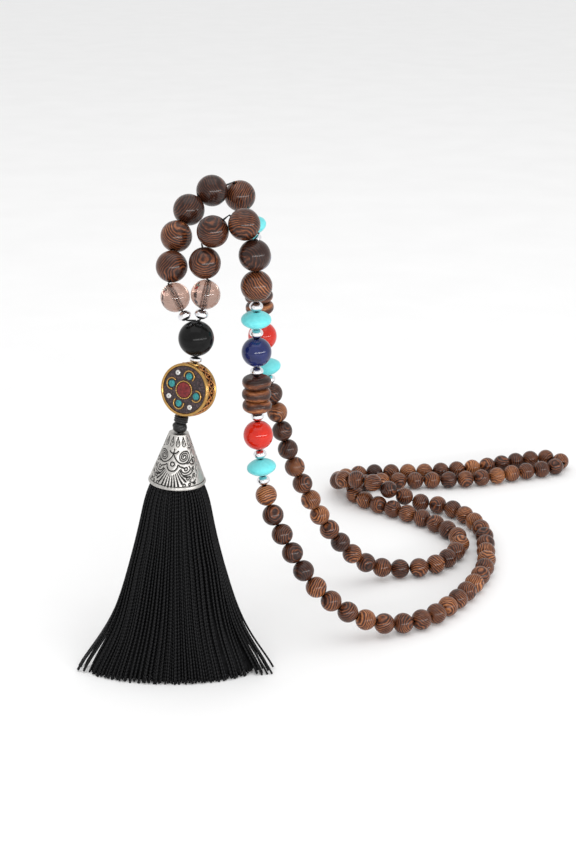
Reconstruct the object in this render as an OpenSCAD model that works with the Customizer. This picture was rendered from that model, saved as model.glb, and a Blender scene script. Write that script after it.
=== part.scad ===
// Long beaded necklace with an amulet, a silver cap and a black tassel.
// It hangs by its two arches of large beads, and the rest of the string lies on a table behind it.
// The origin is under the arches, +Z is up, and -Y is the side that the amulet faces.

/* [Beads] */
// Diameter of the small wood beads
small_d = 7.8; // [7:0.1:8.4]
// Number of small wood beads
small_count = 93; // [87:1:99]
// Diameter of the large wood beads
large_d = 11; // [10:0.1:11.6]
// Diameter of the clear smoky beads
quartz_d = 10.2; // [9:0.1:10.6]
// Diameter of the black bead where the two sides meet
black_d = 12.4; // [11:0.1:14]
// Diameter of the dark blue beads
blue_d = 10.6; // [10:0.1:11.6]
// Diameter of the red beads
red_d = 10.7; // [10:0.1:11.6]
// Diameter of the turquoise beads
turquoise_d = 10.6; // [10:0.1:11.6]
// Thickness of the turquoise beads along the string
turquoise_h = 6.2; // [5:0.1:8]
// Diameter of the wood discs
disc_d = 10.6; // [10:0.1:11.6]
// Thickness of one wood disc
disc_h = 4.2; // [3.5:0.1:5.5]
// Diameter of the silver spacers
spacer_d = 4.8; // [4.2:0.1:5.4]
// Length of the spacers on the string
spacer_h = 3.6; // [2.8:0.1:4.2]
// Length of the spacer over the amulet
low_spacer_h = 2.1; // [1.9:0.1:3]
// Diameter of the hole through each bead
bore_d = 1.8; // [1.5:0.1:2.2]
// Gap left between two beads
bead_gap = 0.12; // [0.1:0.01:0.2]
// Gap left between two pieces of the pendant, which lean each its own way
hang_gap = 0.25; // [0.2:0.05:0.5]

/* [Threads] */
// Diameter of the thread inside the beads
thread_d = 0.7; // [0.5:0.05:0.9]
// Diameter of the hole through the black bead, which takes both ends of the string
black_bore_d = 2.4; // [2:0.1:3]
// Diameter of the doubled thread from the black bead down to the cap
hanger_d = 1.1; // [0.8:0.05:1.3]
// Height of the collar of the knot over the cap
collar_h = 2.3; // [1.8:0.1:4]
// Diameter of the collar of the knot
collar_d = 5; // [4:0.1:6]
// Height of the round part of the knot
knot_h = 3.6; // [3:0.1:5]
// Diameter of the round part of the knot
knot_d = 5.4; // [4.6:0.1:6]

/* [Amulet] */
// Diameter of the amulet's faces over their rims
amulet_d = 18.6; // [17:0.1:21]
// Thickness of the amulet from rim to rim
amulet_t = 7; // [6.4:0.1:9]
// Width of the brass rim round each face
rim_w = 1; // [0.8:0.05:1.3]
// Depth of the dark face below the edge of its rim
face_sink = 0.4; // [0.3:0.05:0.6]
// Thickness of the dark face
face_t = 0.5; // [0.3:0.05:0.7]
// Thickness of the twisted wire round the amulet's side
rope_d = 1.7; // [1:0.1:2]
// Diameter of the collars at the ends of the amulet's hole
spout_d = 4.2; // [3:0.1:5]
// Height of those collars over the rims
spout_h = 0.3; // [0.2:0.05:0.8]
// Diameter of the hole through the amulet
amulet_bore_d = 1.9; // [1.6:0.1:2.2]
// Diameter of the red stone
coral_d = 5.4; // [4:0.1:5.6]
// Diameter of the turquoise dots
dot_d = 2.5; // [2:0.1:2.8]
// Distance of the turquoise dots from the middle of the face
dot_ring_r = 5.2; // [5.1:0.1:5.6]
// Diameter of the white dots
pearl_d = 2.1; // [1.4:0.1:2.3]
// Distance of the white dots from the middle of the face
pearl_ring_r = 6.4; // [6.2:0.1:6.6]
// Thickness of the brass wires on the face
wire_d = 0.55; // [0.4:0.05:0.6]
// Turn of the face to the side, in degrees
amulet_turn = 27; // [0:1:45]
// Turn of the pattern on the face, in degrees
pattern_turn = -8; // [-20:1:20]

/* [Cap and tassel] */
// Height of the silver cap
cap_h = 18.3; // [15:0.1:22]
// Diameter of the cap at its top
cap_top_d = 6.8; // [6:0.1:8]
// Diameter of the cap at its rim
cap_rim_d = 20.4; // [18:0.1:23]
// Wall of the cap
cap_wall = 0.8; // [0.6:0.05:1.1]
// Thickness of the round edge of the rim
cap_edge_d = 1; // [0.8:0.05:1.4]
// Width of the tassel where it stands on the table
tassel_w = 72; // [60:1:84]
// Depth of the tassel where it stands on the table
tassel_t = 22; // [20:1:36]
// Distance of the tassel's foot in front of the cap's rim
tassel_reach = 18.2; // [10:0.1:22]
// Number of locks in the tassel
lock_count = 24; // [18:1:28]

/* [Hidden] */
$fn = 64;
clearance = 0.05;
small_fn = 32;

// The string's route, hand chosen: from the left smoky bead up over the back arch, down to the table,
// over the table to its far right end, back beside itself and up over the front arch to the right smoky bead.
ends_at = [-8.5, -11, -25];
ends_side = [0.98, -0.12, 0.13];
string_route = [
    [-15, -6, -15], [-13, 1, -5], [-7, 9, 4], [3, 14, 8], [8.5, 17, 3.5], [11, 19, -4],
    [13.3, 21, -13], [14, 24, -28], [15, 25, -44], [17, 26, -62], [21, 27, -81], [26, 28, -99],
    [34, 30, -118], [43, 33, -134], [55, 38, -148], [69, 43, -154], [83, 46, -154],
    [94, 58, -154], [98, 74, -154], [88, 91, -154], [76, 102, -154], [64, 112, -154],
    [56, 121, -154], [56, 131, -154], [64, 138, -154], [77, 139, -154], [92, 140, -154],
    [107, 141, -154], [122, 145, -154], [137, 151, -154], [151, 156, -154], [157, 163, -154],
    [151, 169, -154], [138, 166, -154], [122, 159, -154], [107, 154, -154], [92, 151, -154],
    [77, 150, -154], [62, 149, -154], [51, 141, -153], [48, 129, -150], [52, 119, -145],
    [62, 113, -144], [73, 113, -149], [85, 113, -154], [97, 107, -154], [106, 93, -154],
    [109, 78, -154], [108, 62, -154], [106, 47, -154], [100, 31, -154], [90, 14, -154],
    [78, 0, -154], [63, -7, -153], [49, -11, -147], [36, -12, -136], [26, -10, -121],
    [18, -7, -104], [15, -6, -86], [14, -6, -68], [14, -6, -50], [14, -8, -32],
    [14, -10, -14], [11, -10, -1], [2, -9, 0], [-3, -9, -10]
];

// Pieces on each side of the string, from the black bead on
side = [
    "quartz", "large", "large", "large", "large", "large",
    "spacer", "turquoise", "spacer", "blue", "spacer", "disc", "disc", "disc",
    "spacer", "red", "spacer", "turquoise", "spacer"
];
string = concat(side, [for (i = [1:small_count]) "small"], [for (i = [len(side) - 1:-1:0]) side[i]]);
last = len(string) - 1;

// Kinds of piece: name, length along the string, whether its ends are flat
KINDS = [
    ["small", small_d, false], ["large", large_d, false], ["quartz", quartz_d, false],
    ["blue", blue_d, false], ["red", red_d, false], ["turquoise", turquoise_h, true],
    ["disc", disc_h, true], ["spacer", spacer_h, true]
];
function row_of(kind) = [for (row = KINDS) if (row[0] == kind) row][0];
lengths = [for (kind = string) row_of(kind)[1]];
flats = [for (kind = string) row_of(kind)[2]];
function reach(i) = (lengths[i] + lengths[i + 1]) / 2 + bead_gap;
function unit(v) = v / norm(v);
function sum(list) = list * [for (x = list) 1];

// A smooth curve through the route, as points and as the distance along it
pair_half = (quartz_d + 0.5) / 2 * unit(ends_side);
route = concat([ends_at - pair_half], string_route, [ends_at + pair_half]);
function pick(i) = route[max(0, min(len(route) - 1, i))];
function smooth(a, b, c, d, t) =
    (2 * b + (c - a) * t + (2 * a - 5 * b + 4 * c - d) * t ^ 2 + (3 * b - a - 3 * c + d) * t ^ 3) / 2;
samples = 8;
route_low = min([for (p = route) p.z]);
function raised(p) = [p.x, p.y, max(p.z, route_low)];
curve = [
    for (i = [0:len(route) - 2]) for (k = [0:samples - (i < len(route) - 2 ? 1 : 0)])
        raised(smooth(pick(i - 1), pick(i), pick(i + 1), pick(i + 2), k / samples))
];
curve_last = len(curve) - 1;
distances = [
    for (i = 0, s = 0; i <= curve_last; s = s + norm(curve[min(i + 1, curve_last)] - curve[i]), i = i + 1) s
];
route_length = distances[curve_last];
run_on = 50;
beyond = curve[curve_last] + run_on * unit(curve[curve_last] - curve[curve_last - 1]);
tables = [for (axis = [0:2]) concat(
    [for (i = [0:curve_last]) [distances[i], curve[i][axis]]], [[route_length + run_on, beyond[axis]]]
)];
function at(s) = [lookup(s, tables[0]), lookup(s, tables[1]), lookup(s, tables[2])];

// Each piece is set down one straight step from the last, and the route is drawn to the size at which
// the string that these steps add up to just fills it
function step_to(s, gap, guess, tries) =
    tries == 0 ? guess : step_to(s, gap, guess + gap - norm(at(guess) - at(s)), tries - 1);
function walk(scale) = [
    for (i = 0, s = 0; i <= last; s = i < last ? step_to(s, reach(i) / scale, s + reach(i) / scale, 8) : s,
        i = i + 1) s
];
rough_fit = sum([for (i = [0:last - 1]) reach(i)]) / route_length;
function closer(scale, tries) =
    tries == 0 ? scale : closer(scale * walk(scale)[last] / route_length, tries - 1);
fit = closer(rough_fit, 4);
places = [for (s = walk(fit)) fit * at(s)];
floor_z = fit * route_low - small_d / 2;

// The black bead hangs below the two smoky beads, on one spacer from each
mouth_gap = thread_d + 2 * clearance;
hang_reach = black_d / 2 + mouth_gap + spacer_h + bead_gap + quartz_d / 2;
pair_middle = (places[0] + places[last]) / 2;
pair_gap = norm(places[0] - places[last]) / 2;
hang_down = unit([0.12, -0.1, -1]);
black_at = pair_middle + hang_down * sqrt(hang_reach ^ 2 - pair_gap ^ 2);
spacer_reach = black_d / 2 + mouth_gap + spacer_h / 2;
function spacer_way(side_end) = unit(side_end - black_at);

// The way of each piece's hole. Flat pieces between two balls share one way, a ball beside a flat piece
// turns its hole to it, and the other balls turn theirs to the mouths of the holes beside them
function place_of(i) = i < 0 || i > last ? black_at : places[i];
function way_between(i, j) = unit(place_of(j) - place_of(i));
function ball_from(i, step) = i < 0 || i > last || !flats[i] ? i : ball_from(i + step, step);
function first_way(i) = flats[i] ? way_between(ball_from(i, -1), ball_from(i, 1)) : let (
    flat_before = i == 0 || flats[i - 1],
    flat_after = i == last || flats[i + 1],
    before = way_between(i - 1, i),
    after = way_between(i, i + 1)
) flat_before == flat_after ? unit(before + after) : flat_before ? before : after;
function is_held(i) = i == 0 || i == last || flats[i - 1] || flats[i] || flats[i + 1];
function mouth(i, end, ways) = places[i] + end * ways[i] * lengths[i] / 2;
function eased(ways) = [
    for (i = [0:last]) is_held(i) ? ways[i] : unit(mouth(i + 1, -1, ways) - mouth(i - 1, 1, ways))
];
holes = eased(eased([for (i = [0:last]) first_way(i)]));

// The pendant's pieces hang one under another, each with its own lean to the left and to the front
function down(left, front) = unit([-tan(left), -tan(front), -1]);
black_way = down(2, 6);
low_spacer_way = down(8, 6);
amulet_way = down(15, 6);
knot_way = down(11, 3);
cap_way = down(3.3, 0);
amulet_half = amulet_d / 2 + spout_h;
low_spacer_at = black_at + black_way * (black_d / 2 + bead_gap + low_spacer_h / 2);
amulet_at = low_spacer_at + low_spacer_way * (low_spacer_h / 2 + hang_gap) + amulet_way * amulet_half;
knot_at = amulet_at + amulet_way * (amulet_half + hang_gap);
cap_at = knot_at + knot_way * (collar_h + knot_h + hang_gap);
rim_at = cap_at + cap_way * cap_h;

// Names of the string's own pieces, numbered by kind along the string
SUFFIX = [["large", "large_bead_"], ["quartz", "quartz_bead_"], ["blue", "blue_bead_"], ["red", "red_bead_"],
    ["turquoise", "turquoise_bead_"], ["disc", "wood_disc_"], ["spacer", "spacer_"]];
function prefix_of(kind) = [for (row = SUFFIX) if (row[0] == kind) row[1]][0];
function number_of(i) = len([for (j = [0:i]) if (string[j] == string[i]) 1]);
function name_of(i) = str(prefix_of(string[i]), number_of(i));
singles = [for (i = [0:last]) if (string[i] != "small") i];
small_first = len(side);
small_middle = small_first + floor(small_count / 2);
small_last = small_first + small_count;

module aim(place, way) {
    translate(place) rotate([0, acos(way.z), atan2(way.y, way.x)]) children();
}

// Ball with a hole along Z
module drilled_ball(d, hole) {
    difference() {
        sphere(d = d);
        cylinder(d = hole, h = d + 1, center = true);
    }
}

// Ring with round edges and a hole along Z
module round_ring(d, h, edge, hole) {
    r = min(edge, h / 2);
    rotate_extrude() difference() {
        union() {
            translate([0, -h / 2]) square([d / 2 - r, h]);
            translate([0, r - h / 2]) square([d / 2, h - 2 * r + 0.001]);
            for (side_y = [-1, 1]) translate([d / 2 - r, side_y * (h / 2 - r)]) circle(r = r, $fn = 32);
        }
        translate([-d, -h]) square([d + hole / 2, 2 * h]);
    }
}

// Lens with a round edge, its faces arcs that run into the edge, and a hole along Z
module lens_ring(d, h, edge, hole) {
    r = min(edge, 0.42 * h);
    edge_at = d / 2 - r;
    arc_r = (edge_at ^ 2 + h ^ 2 / 4 - r ^ 2) / (h - 2 * r);
    rotate_extrude() difference() {
        union() {
            intersection() {
                translate([0, h / 2 - arc_r]) circle(r = arc_r);
                translate([0, arc_r - h / 2]) circle(r = arc_r);
                translate([0, -h]) square([edge_at * arc_r / (arc_r - r), 2 * h]);
            }
            translate([edge_at, 0]) circle(r = r, $fn = 32);
        }
        translate([-d, -h]) square([d + hole / 2, 2 * h]);
    }
}

module string_piece(i) {
    kind = string[i];
    aim(places[i], holes[i]) {
        if (kind == "large") color("saddlebrown") drilled_ball(large_d, bore_d);
        if (kind == "quartz") color("rosybrown") drilled_ball(quartz_d, bore_d);
        if (kind == "blue") color("midnightblue") drilled_ball(blue_d, bore_d);
        if (kind == "red") color("firebrick") drilled_ball(red_d, bore_d);
        if (kind == "turquoise") color("mediumturquoise")
            lens_ring(turquoise_d, turquoise_h, 1.7, bore_d);
        if (kind == "disc") color("sienna") round_ring(disc_d, disc_h, 1.7, bore_d);
        if (kind == "spacer") color("silver") lens_ring(spacer_d, spacer_h, 1.2, bore_d);
    }
}

module small_beads(first, stop) {
    color("saddlebrown") for (i = [first:stop - 1]) aim(places[i], holes[i])
        drilled_ball(small_d, bore_d, $fn = small_fn);
}

// Thread swept along points, with rings carried from one to the next without twist
function carried(n, way) = unit(n - (n * way) * way);
function ring_way(p, i) = unit(p[min(i + 1, len(p) - 1)] - p[max(i - 1, 0)]);
module thread(points, d, sides) {
    count = len(points);
    starts = [for (i = 0, n = carried([0.3, 0.9, 0.2], ring_way(points, 0)); i < count;
        i = i + 1, n = i < count ? carried(n, ring_way(points, i)) : n) n];
    skin = [for (i = [0:count - 1]) let (way = ring_way(points, i), across = cross(way, starts[i]))
        for (k = [0:sides - 1]) points[i] + d / 2 * (cos(360 * k / sides) * starts[i]
            + sin(360 * k / sides) * across)];
    walls = [for (i = [0:count - 2]) for (k = [0:sides - 1]) let (m = (k + 1) % sides)
        each [[i * sides + k, (i + 1) * sides + k, (i + 1) * sides + m], [i * sides + k, (i + 1) * sides + m,
            i * sides + m]]];
    ends = [[for (k = [0:sides - 1]) k], [for (k = [sides - 1:-1:0]) (count - 1) * sides + k]];
    polyhedron(skin, concat(walls, ends));
}

// Both ends of the string come out of the black bead and turn over its edge into their spacers
mouth_side = unit(cross(black_way, cross(black_way, places[0] - places[last])));
mouth_half = thread_d / 2 + 0.1;
over_black = black_d / 2 + mouth_gap / 2 + 0.02;
function string_end(side_end, turn) = let (way = spacer_way(side_end)) [
    black_at - black_way * black_d * 0.2 - turn * mouth_side * mouth_half,
    black_at - black_way * (over_black - 0.25) - turn * mouth_side * mouth_half,
    black_at + over_black * unit(2 * way - black_way - turn * 0.15 * mouth_side),
    black_at + way * (spacer_reach - spacer_h / 2),
    black_at + way * (spacer_reach + spacer_h / 2)
];
function turned(list) = [for (i = [len(list) - 1:-1:0]) list[i]];

// The thread rises a little from a ball's hole before it turns to the next piece
function lift(i, end) =
    min(0.6 * thread_d, lengths[i] / 4 * (1 - end * holes[i] * way_between(i, i + end)));
bead_points = [for (i = [0:last]) each flats[i] ? [places[i]]
    : [for (end = [-1, 1]) places[i] + end * holes[i] * (lengths[i] / 2 + lift(i, end))]];

module string_thread() {
    color("black") thread(concat(string_end(places[0], 1), bead_points, turned(string_end(places[last], -1))),
        thread_d, 6);
}

module end_spacer(side_end) {
    way = spacer_way(side_end);
    color("silver") aim(black_at + way * spacer_reach, way) lens_ring(spacer_d, spacer_h, 1.2, bore_d);
}

module low_spacer() {
    color("silver") aim(low_spacer_at, low_spacer_way) lens_ring(spacer_d - 0.4, low_spacer_h, 0.8, bore_d);
}

module black_bead() {
    color("black") aim(black_at, -black_way) drilled_ball(black_d, black_bore_d);
}

// Doubled thread through the spacer, the amulet and the knot into the cap
module hanger_thread() {
    color("black") thread([
        black_at + black_way * black_d * 0.1,
        low_spacer_at,
        amulet_at - amulet_way * amulet_half * 0.95,
        amulet_at + amulet_way * amulet_half * 0.95,
        knot_at + knot_way * collar_h * 0.5,
        cap_at - knot_way * knot_h * 0.1,
        cap_at + cap_way * 2.5
    ], hanger_d, 8);
}

// The amulet stands with its hole along Z and its front face toward -Y
face_r = amulet_d / 2 - rim_w;
face_y = amulet_t / 2 - face_sink;
module amulet_frame() {
    aim(amulet_at, -amulet_way) rotate([0, 0, -atan2(-amulet_way.y, -amulet_way.x)])
        rotate([0, 0, -amulet_turn]) children();
}
module on_faces() {
    for (back = [0, 180]) rotate([0, 0, back]) translate([0, -face_y - clearance, 0]) rotate([90, 0, 0])
        rotate([0, 0, pattern_turn]) children();
}

module amulet_case() {
    rim_at_y = amulet_t / 2 - rim_w / 2;
    color("goldenrod") amulet_frame() difference() {
        union() {
            rotate([90, 0, 0]) rotate_extrude() {
                translate([0, -face_y + face_t]) square([face_r + rim_w / 2, 2 * (face_y - face_t)]);
                translate([face_r, -rim_at_y]) square([rim_w * 0.6, 2 * rim_at_y]);
                for (end = [-1, 1]) translate([face_r + rim_w / 2, end * rim_at_y])
                    circle(d = rim_w, $fn = 24);
                translate([face_r + rim_w / 2, 0]) circle(d = rope_d, $fn = 24);
            }
            cylinder(d = spout_d, h = 2 * amulet_half, center = true);
        }
        cylinder(d = amulet_bore_d, h = amulet_d * 1.5, center = true);
        rotate([90, 0, 0]) for (end = [0, 180]) rotate([end, 0, 0])
            translate([0, 0, face_y - face_t]) cylinder(r = face_r, h = spout_d);
    }
}

module amulet_faces() {
    color("#4a3238") amulet_frame() rotate([90, 0, 0]) for (end = [0, 180]) rotate([end, 0, 0])
        translate([0, 0, face_y - face_t + clearance])
            cylinder(r = face_r - clearance, h = face_t - clearance);
}

module amulet_coral() {
    color("firebrick") amulet_frame() on_faces() intersection() {
        cylinder(d = coral_d, h = wire_d * 2);
        translate([0, 0, wire_d * 1.6 - coral_d]) sphere(r = coral_d);
    }
}

module amulet_dots() {
    color("lightseagreen") amulet_frame() on_faces() for (quarter = [0:3])
        rotate([0, 0, 90 * quarter]) translate([dot_ring_r, 0, 0]) intersection() {
            cylinder(d = dot_d, h = wire_d * 1.6);
            translate([0, 0, wire_d * 1.3 - dot_d]) sphere(r = dot_d);
        }
}

// White dots between the turquoise ones, with the fourth one lost
module amulet_pearls() {
    color("whitesmoke") amulet_frame() on_faces() for (quarter = [1:3])
        rotate([0, 0, 45 + 90 * quarter]) translate([pearl_ring_r, 0, 0]) difference() {
            cylinder(d = pearl_d, h = wire_d);
            translate([0, 0, wire_d * 0.6]) cylinder(d = pearl_d * 0.45, h = wire_d);
        }
}

// A ring round the red stone and a horseshoe round each turquoise dot, open toward the middle
module amulet_wires() {
    shoe_r = dot_d / 2 + wire_d / 2 + 0.35;
    color("gold") amulet_frame() on_faces() translate([0, 0, wire_d / 2]) {
        rotate_extrude() translate([coral_d / 2 + wire_d / 2 + 2 * clearance, 0])
            circle(d = wire_d, $fn = 16);
        for (quarter = [0:3]) rotate([0, 0, 90 * quarter]) translate([dot_ring_r, 0, 0]) rotate([0, 0, -118])
            rotate_extrude(angle = 236) translate([shoe_r, 0]) circle(d = wire_d, $fn = 16);
    }
}

module cord_knot() {
    color("black") aim(knot_at, knot_way) rotate_extrude() difference() {
        union() {
            square([collar_d / 2 - 0.6, collar_h]);
            translate([0, 0.6]) square([collar_d / 2, collar_h - 1.2]);
            for (y = [0.6, collar_h - 0.6]) translate([collar_d / 2 - 0.6, y]) circle(r = 0.6, $fn = 24);
            translate([0, collar_h - 0.2]) square([knot_d / 2 - knot_h * 0.4, knot_h + 0.2]);
            translate([knot_d / 2 - knot_h * 0.45, collar_h + knot_h * 0.45])
                circle(r = knot_h * 0.45, $fn = 32);
        }
        translate([-knot_d, -1]) square([knot_d + hanger_d / 2 + 0.15, collar_h + knot_h + 2]);
    }
}

// Cone cap with a round edge at its rim and a round shoulder at its top
cap_slope = (cap_rim_d - cap_top_d) / 2 / cap_h;
function cap_inner_r(y) = cap_top_d / 2 - cap_wall + cap_slope * (y - cap_wall);
module tassel_cap() {
    color("lightgray") aim(cap_at, cap_way) rotate_extrude() difference() {
        union() {
            polygon([
                [0, 0], [cap_top_d / 2 - 0.7, 0], [cap_top_d / 2, 0.5], [cap_rim_d / 2, cap_h], [0, cap_h]
            ]);
            translate([cap_rim_d / 2 - cap_edge_d * 0.3, cap_h - cap_edge_d / 2])
                circle(d = cap_edge_d, $fn = 24);
        }
        polygon([
            [0, cap_wall], [cap_inner_r(cap_wall), cap_wall], [cap_inner_r(cap_h), cap_h],
            [cap_inner_r(cap_h), cap_h + 1], [0, cap_h + 1]
        ]);
        translate([0, -1]) square([hanger_d / 2 + 0.15, cap_wall + 2]);
    }
}

// The tassel is one skin of locks, round where the cap holds it and spread to an oval on the table
// Rows: share of the way down from the cap's rim, share of the spread, depth of the grooves between locks
FALL = [
    [0, 0, 0.03], [0.03, 0.046, 0.04], [0.13, 0.13, 0.05], [0.3, 0.22, 0.07], [0.5, 0.36, 0.09],
    [0.7, 0.535, 0.11], [0.88, 0.79, 0.13], [0.97, 0.945, 0.14], [1, 0.98, 0.16]
];
lock_points = 4;
tassel_sides = lock_count * lock_points;
head_top = 8.2;
tassel_foot = [rim_at.x - 1, rim_at.y - tassel_reach, floor_z];
head_gap = 0.25;
function tassel_ring(centre, way, half_w, half_t, groove) = let (
        wide = unit(cross([0, 1, 0], way)), deep = cross(way, wide)
    ) [for (k = [0:tassel_sides - 1]) let (
        turn = 360 * k / tassel_sides,
        swell = 1 - groove * abs(sin(turn * lock_count / 2)) ^ 2
    ) centre + swell * (half_w * cos(turn) * wide + half_t * sin(turn) * deep)];
mouth_r = cap_inner_r(cap_h) - head_gap;
head_rings = [for (y = [head_top, cap_h]) tassel_ring(cap_at + cap_way * y, cap_way,
    cap_inner_r(y) - head_gap, cap_inner_r(y) - head_gap, 0.03)];
fall_rings = [for (row = FALL) if (row[0] > 0) let (
        way = unit(cap_way * (1 - row[0]) + [0, 0, -1] * row[0]),
        centre = rim_at + (tassel_foot - rim_at) * row[0]
    ) tassel_ring(centre, way, mouth_r + (tassel_w / 2 - mouth_r) * row[1],
        mouth_r + (tassel_t / 2 - mouth_r) * row[1], row[2])];
module tassel() {
    rings = concat(head_rings, fall_rings);
    rows = len(rings);
    n = tassel_sides;
    hollow = tassel_foot + [0, 0, 3];
    skin = concat([for (ring = rings) each ring], [cap_at + cap_way * head_top, hollow]);
    walls = [for (i = [0:rows - 2]) for (k = [0:n - 1]) let (m = (k + 1) % n)
        each [[i * n + k, i * n + m, (i + 1) * n + m], [i * n + k, (i + 1) * n + m, (i + 1) * n + k]]];
    lid = [for (k = [0:n - 1]) [rows * n, (k + 1) % n, k]];
    under = [for (k = [0:n - 1]) [rows * n + 1, (rows - 1) * n + k, (rows - 1) * n + (k + 1) % n]];
    color("#16161a") polyhedron(skin, concat(walls, lid, under));
}

for (i = singles) string_piece(i);
small_beads(small_first, small_middle);  // small_beads_near
small_beads(small_middle, small_last);  // small_beads_far
string_thread();
end_spacer(places[0]);  // spacer_13
end_spacer(places[last]);  // spacer_14
low_spacer();  // spacer_15
black_bead();
hanger_thread();
amulet_case();
amulet_faces();
amulet_coral();
amulet_dots();
amulet_pearls();
amulet_wires();
cord_knot();
tassel_cap();
tassel();
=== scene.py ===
# %% [markdown]
# # A tassel necklace
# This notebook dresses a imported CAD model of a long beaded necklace. The CAD model gives the size and the
# place of every bead. Here each piece gets its real surface: turned wood, glass, stone, chrome, brass,
# aged silver and twisted thread. All new shapes are worked out with numpy and handed to Blender as meshes.

# %% Load the CAD frame
import math
import bpy
import numpy as np
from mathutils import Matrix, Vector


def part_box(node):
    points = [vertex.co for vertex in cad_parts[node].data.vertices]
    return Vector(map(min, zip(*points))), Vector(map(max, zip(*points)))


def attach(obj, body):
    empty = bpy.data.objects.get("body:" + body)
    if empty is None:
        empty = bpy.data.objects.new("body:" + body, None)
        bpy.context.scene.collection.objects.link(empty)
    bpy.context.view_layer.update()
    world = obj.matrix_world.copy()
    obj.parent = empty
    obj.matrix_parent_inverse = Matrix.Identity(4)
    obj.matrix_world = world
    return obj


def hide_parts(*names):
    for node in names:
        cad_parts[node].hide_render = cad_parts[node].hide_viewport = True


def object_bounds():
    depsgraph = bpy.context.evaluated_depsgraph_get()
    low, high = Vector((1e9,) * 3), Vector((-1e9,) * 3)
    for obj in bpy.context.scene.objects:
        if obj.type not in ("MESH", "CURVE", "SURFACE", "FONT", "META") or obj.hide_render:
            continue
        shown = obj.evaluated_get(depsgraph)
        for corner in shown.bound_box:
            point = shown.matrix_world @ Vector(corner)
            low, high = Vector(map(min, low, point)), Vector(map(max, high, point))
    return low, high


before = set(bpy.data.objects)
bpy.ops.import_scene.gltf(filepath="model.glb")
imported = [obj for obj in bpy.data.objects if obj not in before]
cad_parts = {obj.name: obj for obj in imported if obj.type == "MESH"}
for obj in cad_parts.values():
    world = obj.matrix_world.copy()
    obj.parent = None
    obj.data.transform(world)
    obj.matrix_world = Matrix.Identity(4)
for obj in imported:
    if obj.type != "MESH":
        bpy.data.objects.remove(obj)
cad_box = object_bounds()
MM = 0.001
rng = np.random.default_rng(11)
print("CAD box in mm:", [round(v / MM, 1) for corner in cad_box for v in corner])

# %% [markdown]
# ## Camera, floor and light
# The photograph looks down a little on the hanging arches, from about half a metre. A lens of 62 mm gives
# the same narrow view. The floor is a large pale sheet with no horizon in this view. A broad light from above
# does most of the work, and a long thin light beside the camera draws the fine bright streak that each
# polished bead shows across its middle.

# %% Camera
def placed(name, data):
    """A new object with this data, linked into the scene."""
    made = bpy.data.objects.new(name, data)
    bpy.context.collection.objects.link(made)
    return made


camera = placed("camera", bpy.data.cameras.new("camera"))
camera.location = (0.025, -0.510, 0.108)
camera.rotation_euler = (math.radians(90 - 20.1), 0, 0)
camera.data.lens = 62.5
camera.data.sensor_width = 36
camera.data.clip_start = 0.01
bpy.context.scene.camera = camera
bpy.context.scene.view_settings.view_transform = "Standard"
print("camera looks down by 20.1 degrees from", tuple(round(v, 3) for v in camera.location))


# %% Helpers for materials
def new_finish(name, **values):
    """A material with a Principled shader. Each value goes straight on the shader's own socket."""
    finish = bpy.data.materials.new(name)
    finish.use_nodes = True
    shader = finish.node_tree.nodes["Principled BSDF"]
    for socket, value in values.items():
        shader.inputs[socket.replace("_", " ")].default_value = value
    return finish, finish.node_tree, shader


def add(tree, kind, inputs=None, **settings):
    """A node of one kind, with its settings and with values or links for its inputs."""
    node = tree.nodes.new(kind)
    for key, value in settings.items():
        setattr(node, key, value)
    for key, value in (inputs or {}).items():
        if isinstance(value, bpy.types.NodeSocket):
            tree.links.new(value, node.inputs[key])
        else:
            node.inputs[key].default_value = value
    return node


def feed(tree, inputs, **sources):
    """Links from outputs to the inputs of a shader or a group, by name."""
    for socket, source in sources.items():
        tree.links.new(source, inputs[socket.replace("_", " ")])


def maths(tree, operation, *values, clamp=False):
    """The output of one Math node."""
    values = dict(enumerate(values))
    return add(tree, "ShaderNodeMath", values, operation=operation, use_clamp=clamp).outputs[0]


def scaled(tree, mask, gain, base=0.0):
    """A mask times a gain, plus a base."""
    return maths(tree, "MULTIPLY_ADD", mask, gain, base)


def stretched(tree, mask, low, high, **ends):
    """A mask with the span from low to high stretched to the span from 0 to 1."""
    return add(tree, "ShaderNodeMapRange", {0: mask, 1: low, 2: high}, **ends).outputs[0]


def ramp(tree, mask, *stops):
    """A colour ramp from a list of (place, colour)."""
    node = add(tree, "ShaderNodeValToRGB", {0: mask})
    marks = node.color_ramp.elements
    while len(marks) < len(stops):
        marks.new(0.5)
    for mark, (place, colour) in zip(marks, stops):
        mark.position = place
        mark.color = (*colour, 1)
    return node.outputs[0]


def mixed(tree, mask, low, high):
    """A colour between two colours."""
    node = add(tree, "ShaderNodeMix", data_type="RGBA")
    for socket, value in ((node.inputs[0], mask), (node.inputs[6], low), (node.inputs[7], high)):
        if isinstance(value, bpy.types.NodeSocket):
            tree.links.new(value, socket)
        else:
            socket.default_value = value if isinstance(value, (int, float)) else (*value, 1)
    return node.outputs[2]


def speckle(tree, place, scale, detail=2.0, stretch=(1, 1, 1)):
    """Noise between 0 and 1. The place is in millimetres, and the scale is in bumps per millimetre."""
    spread = add(tree, "ShaderNodeMapping", {"Vector": place, "Scale": stretch}).outputs[0]
    return add(tree, "ShaderNodeTexNoise", {"Vector": spread, "Scale": scale, "Detail": detail}).outputs[0]


def millimetres(tree):
    """Object coordinates in millimetres."""
    here = add(tree, "ShaderNodeTexCoord").outputs["Object"]
    per_metre = (1 / MM, 1 / MM, 1 / MM)
    return add(tree, "ShaderNodeVectorMath", {0: here, 1: per_metre}, operation="MULTIPLY").outputs[0]


def bump(tree, height, depth, shader):
    """A Bump node over a height, with its depth in millimetres."""
    node = add(tree, "ShaderNodeBump", {"Height": height, "Strength": 1.0, "Distance": depth * MM})
    feed(tree, shader.inputs, Normal=node.outputs[0])


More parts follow.
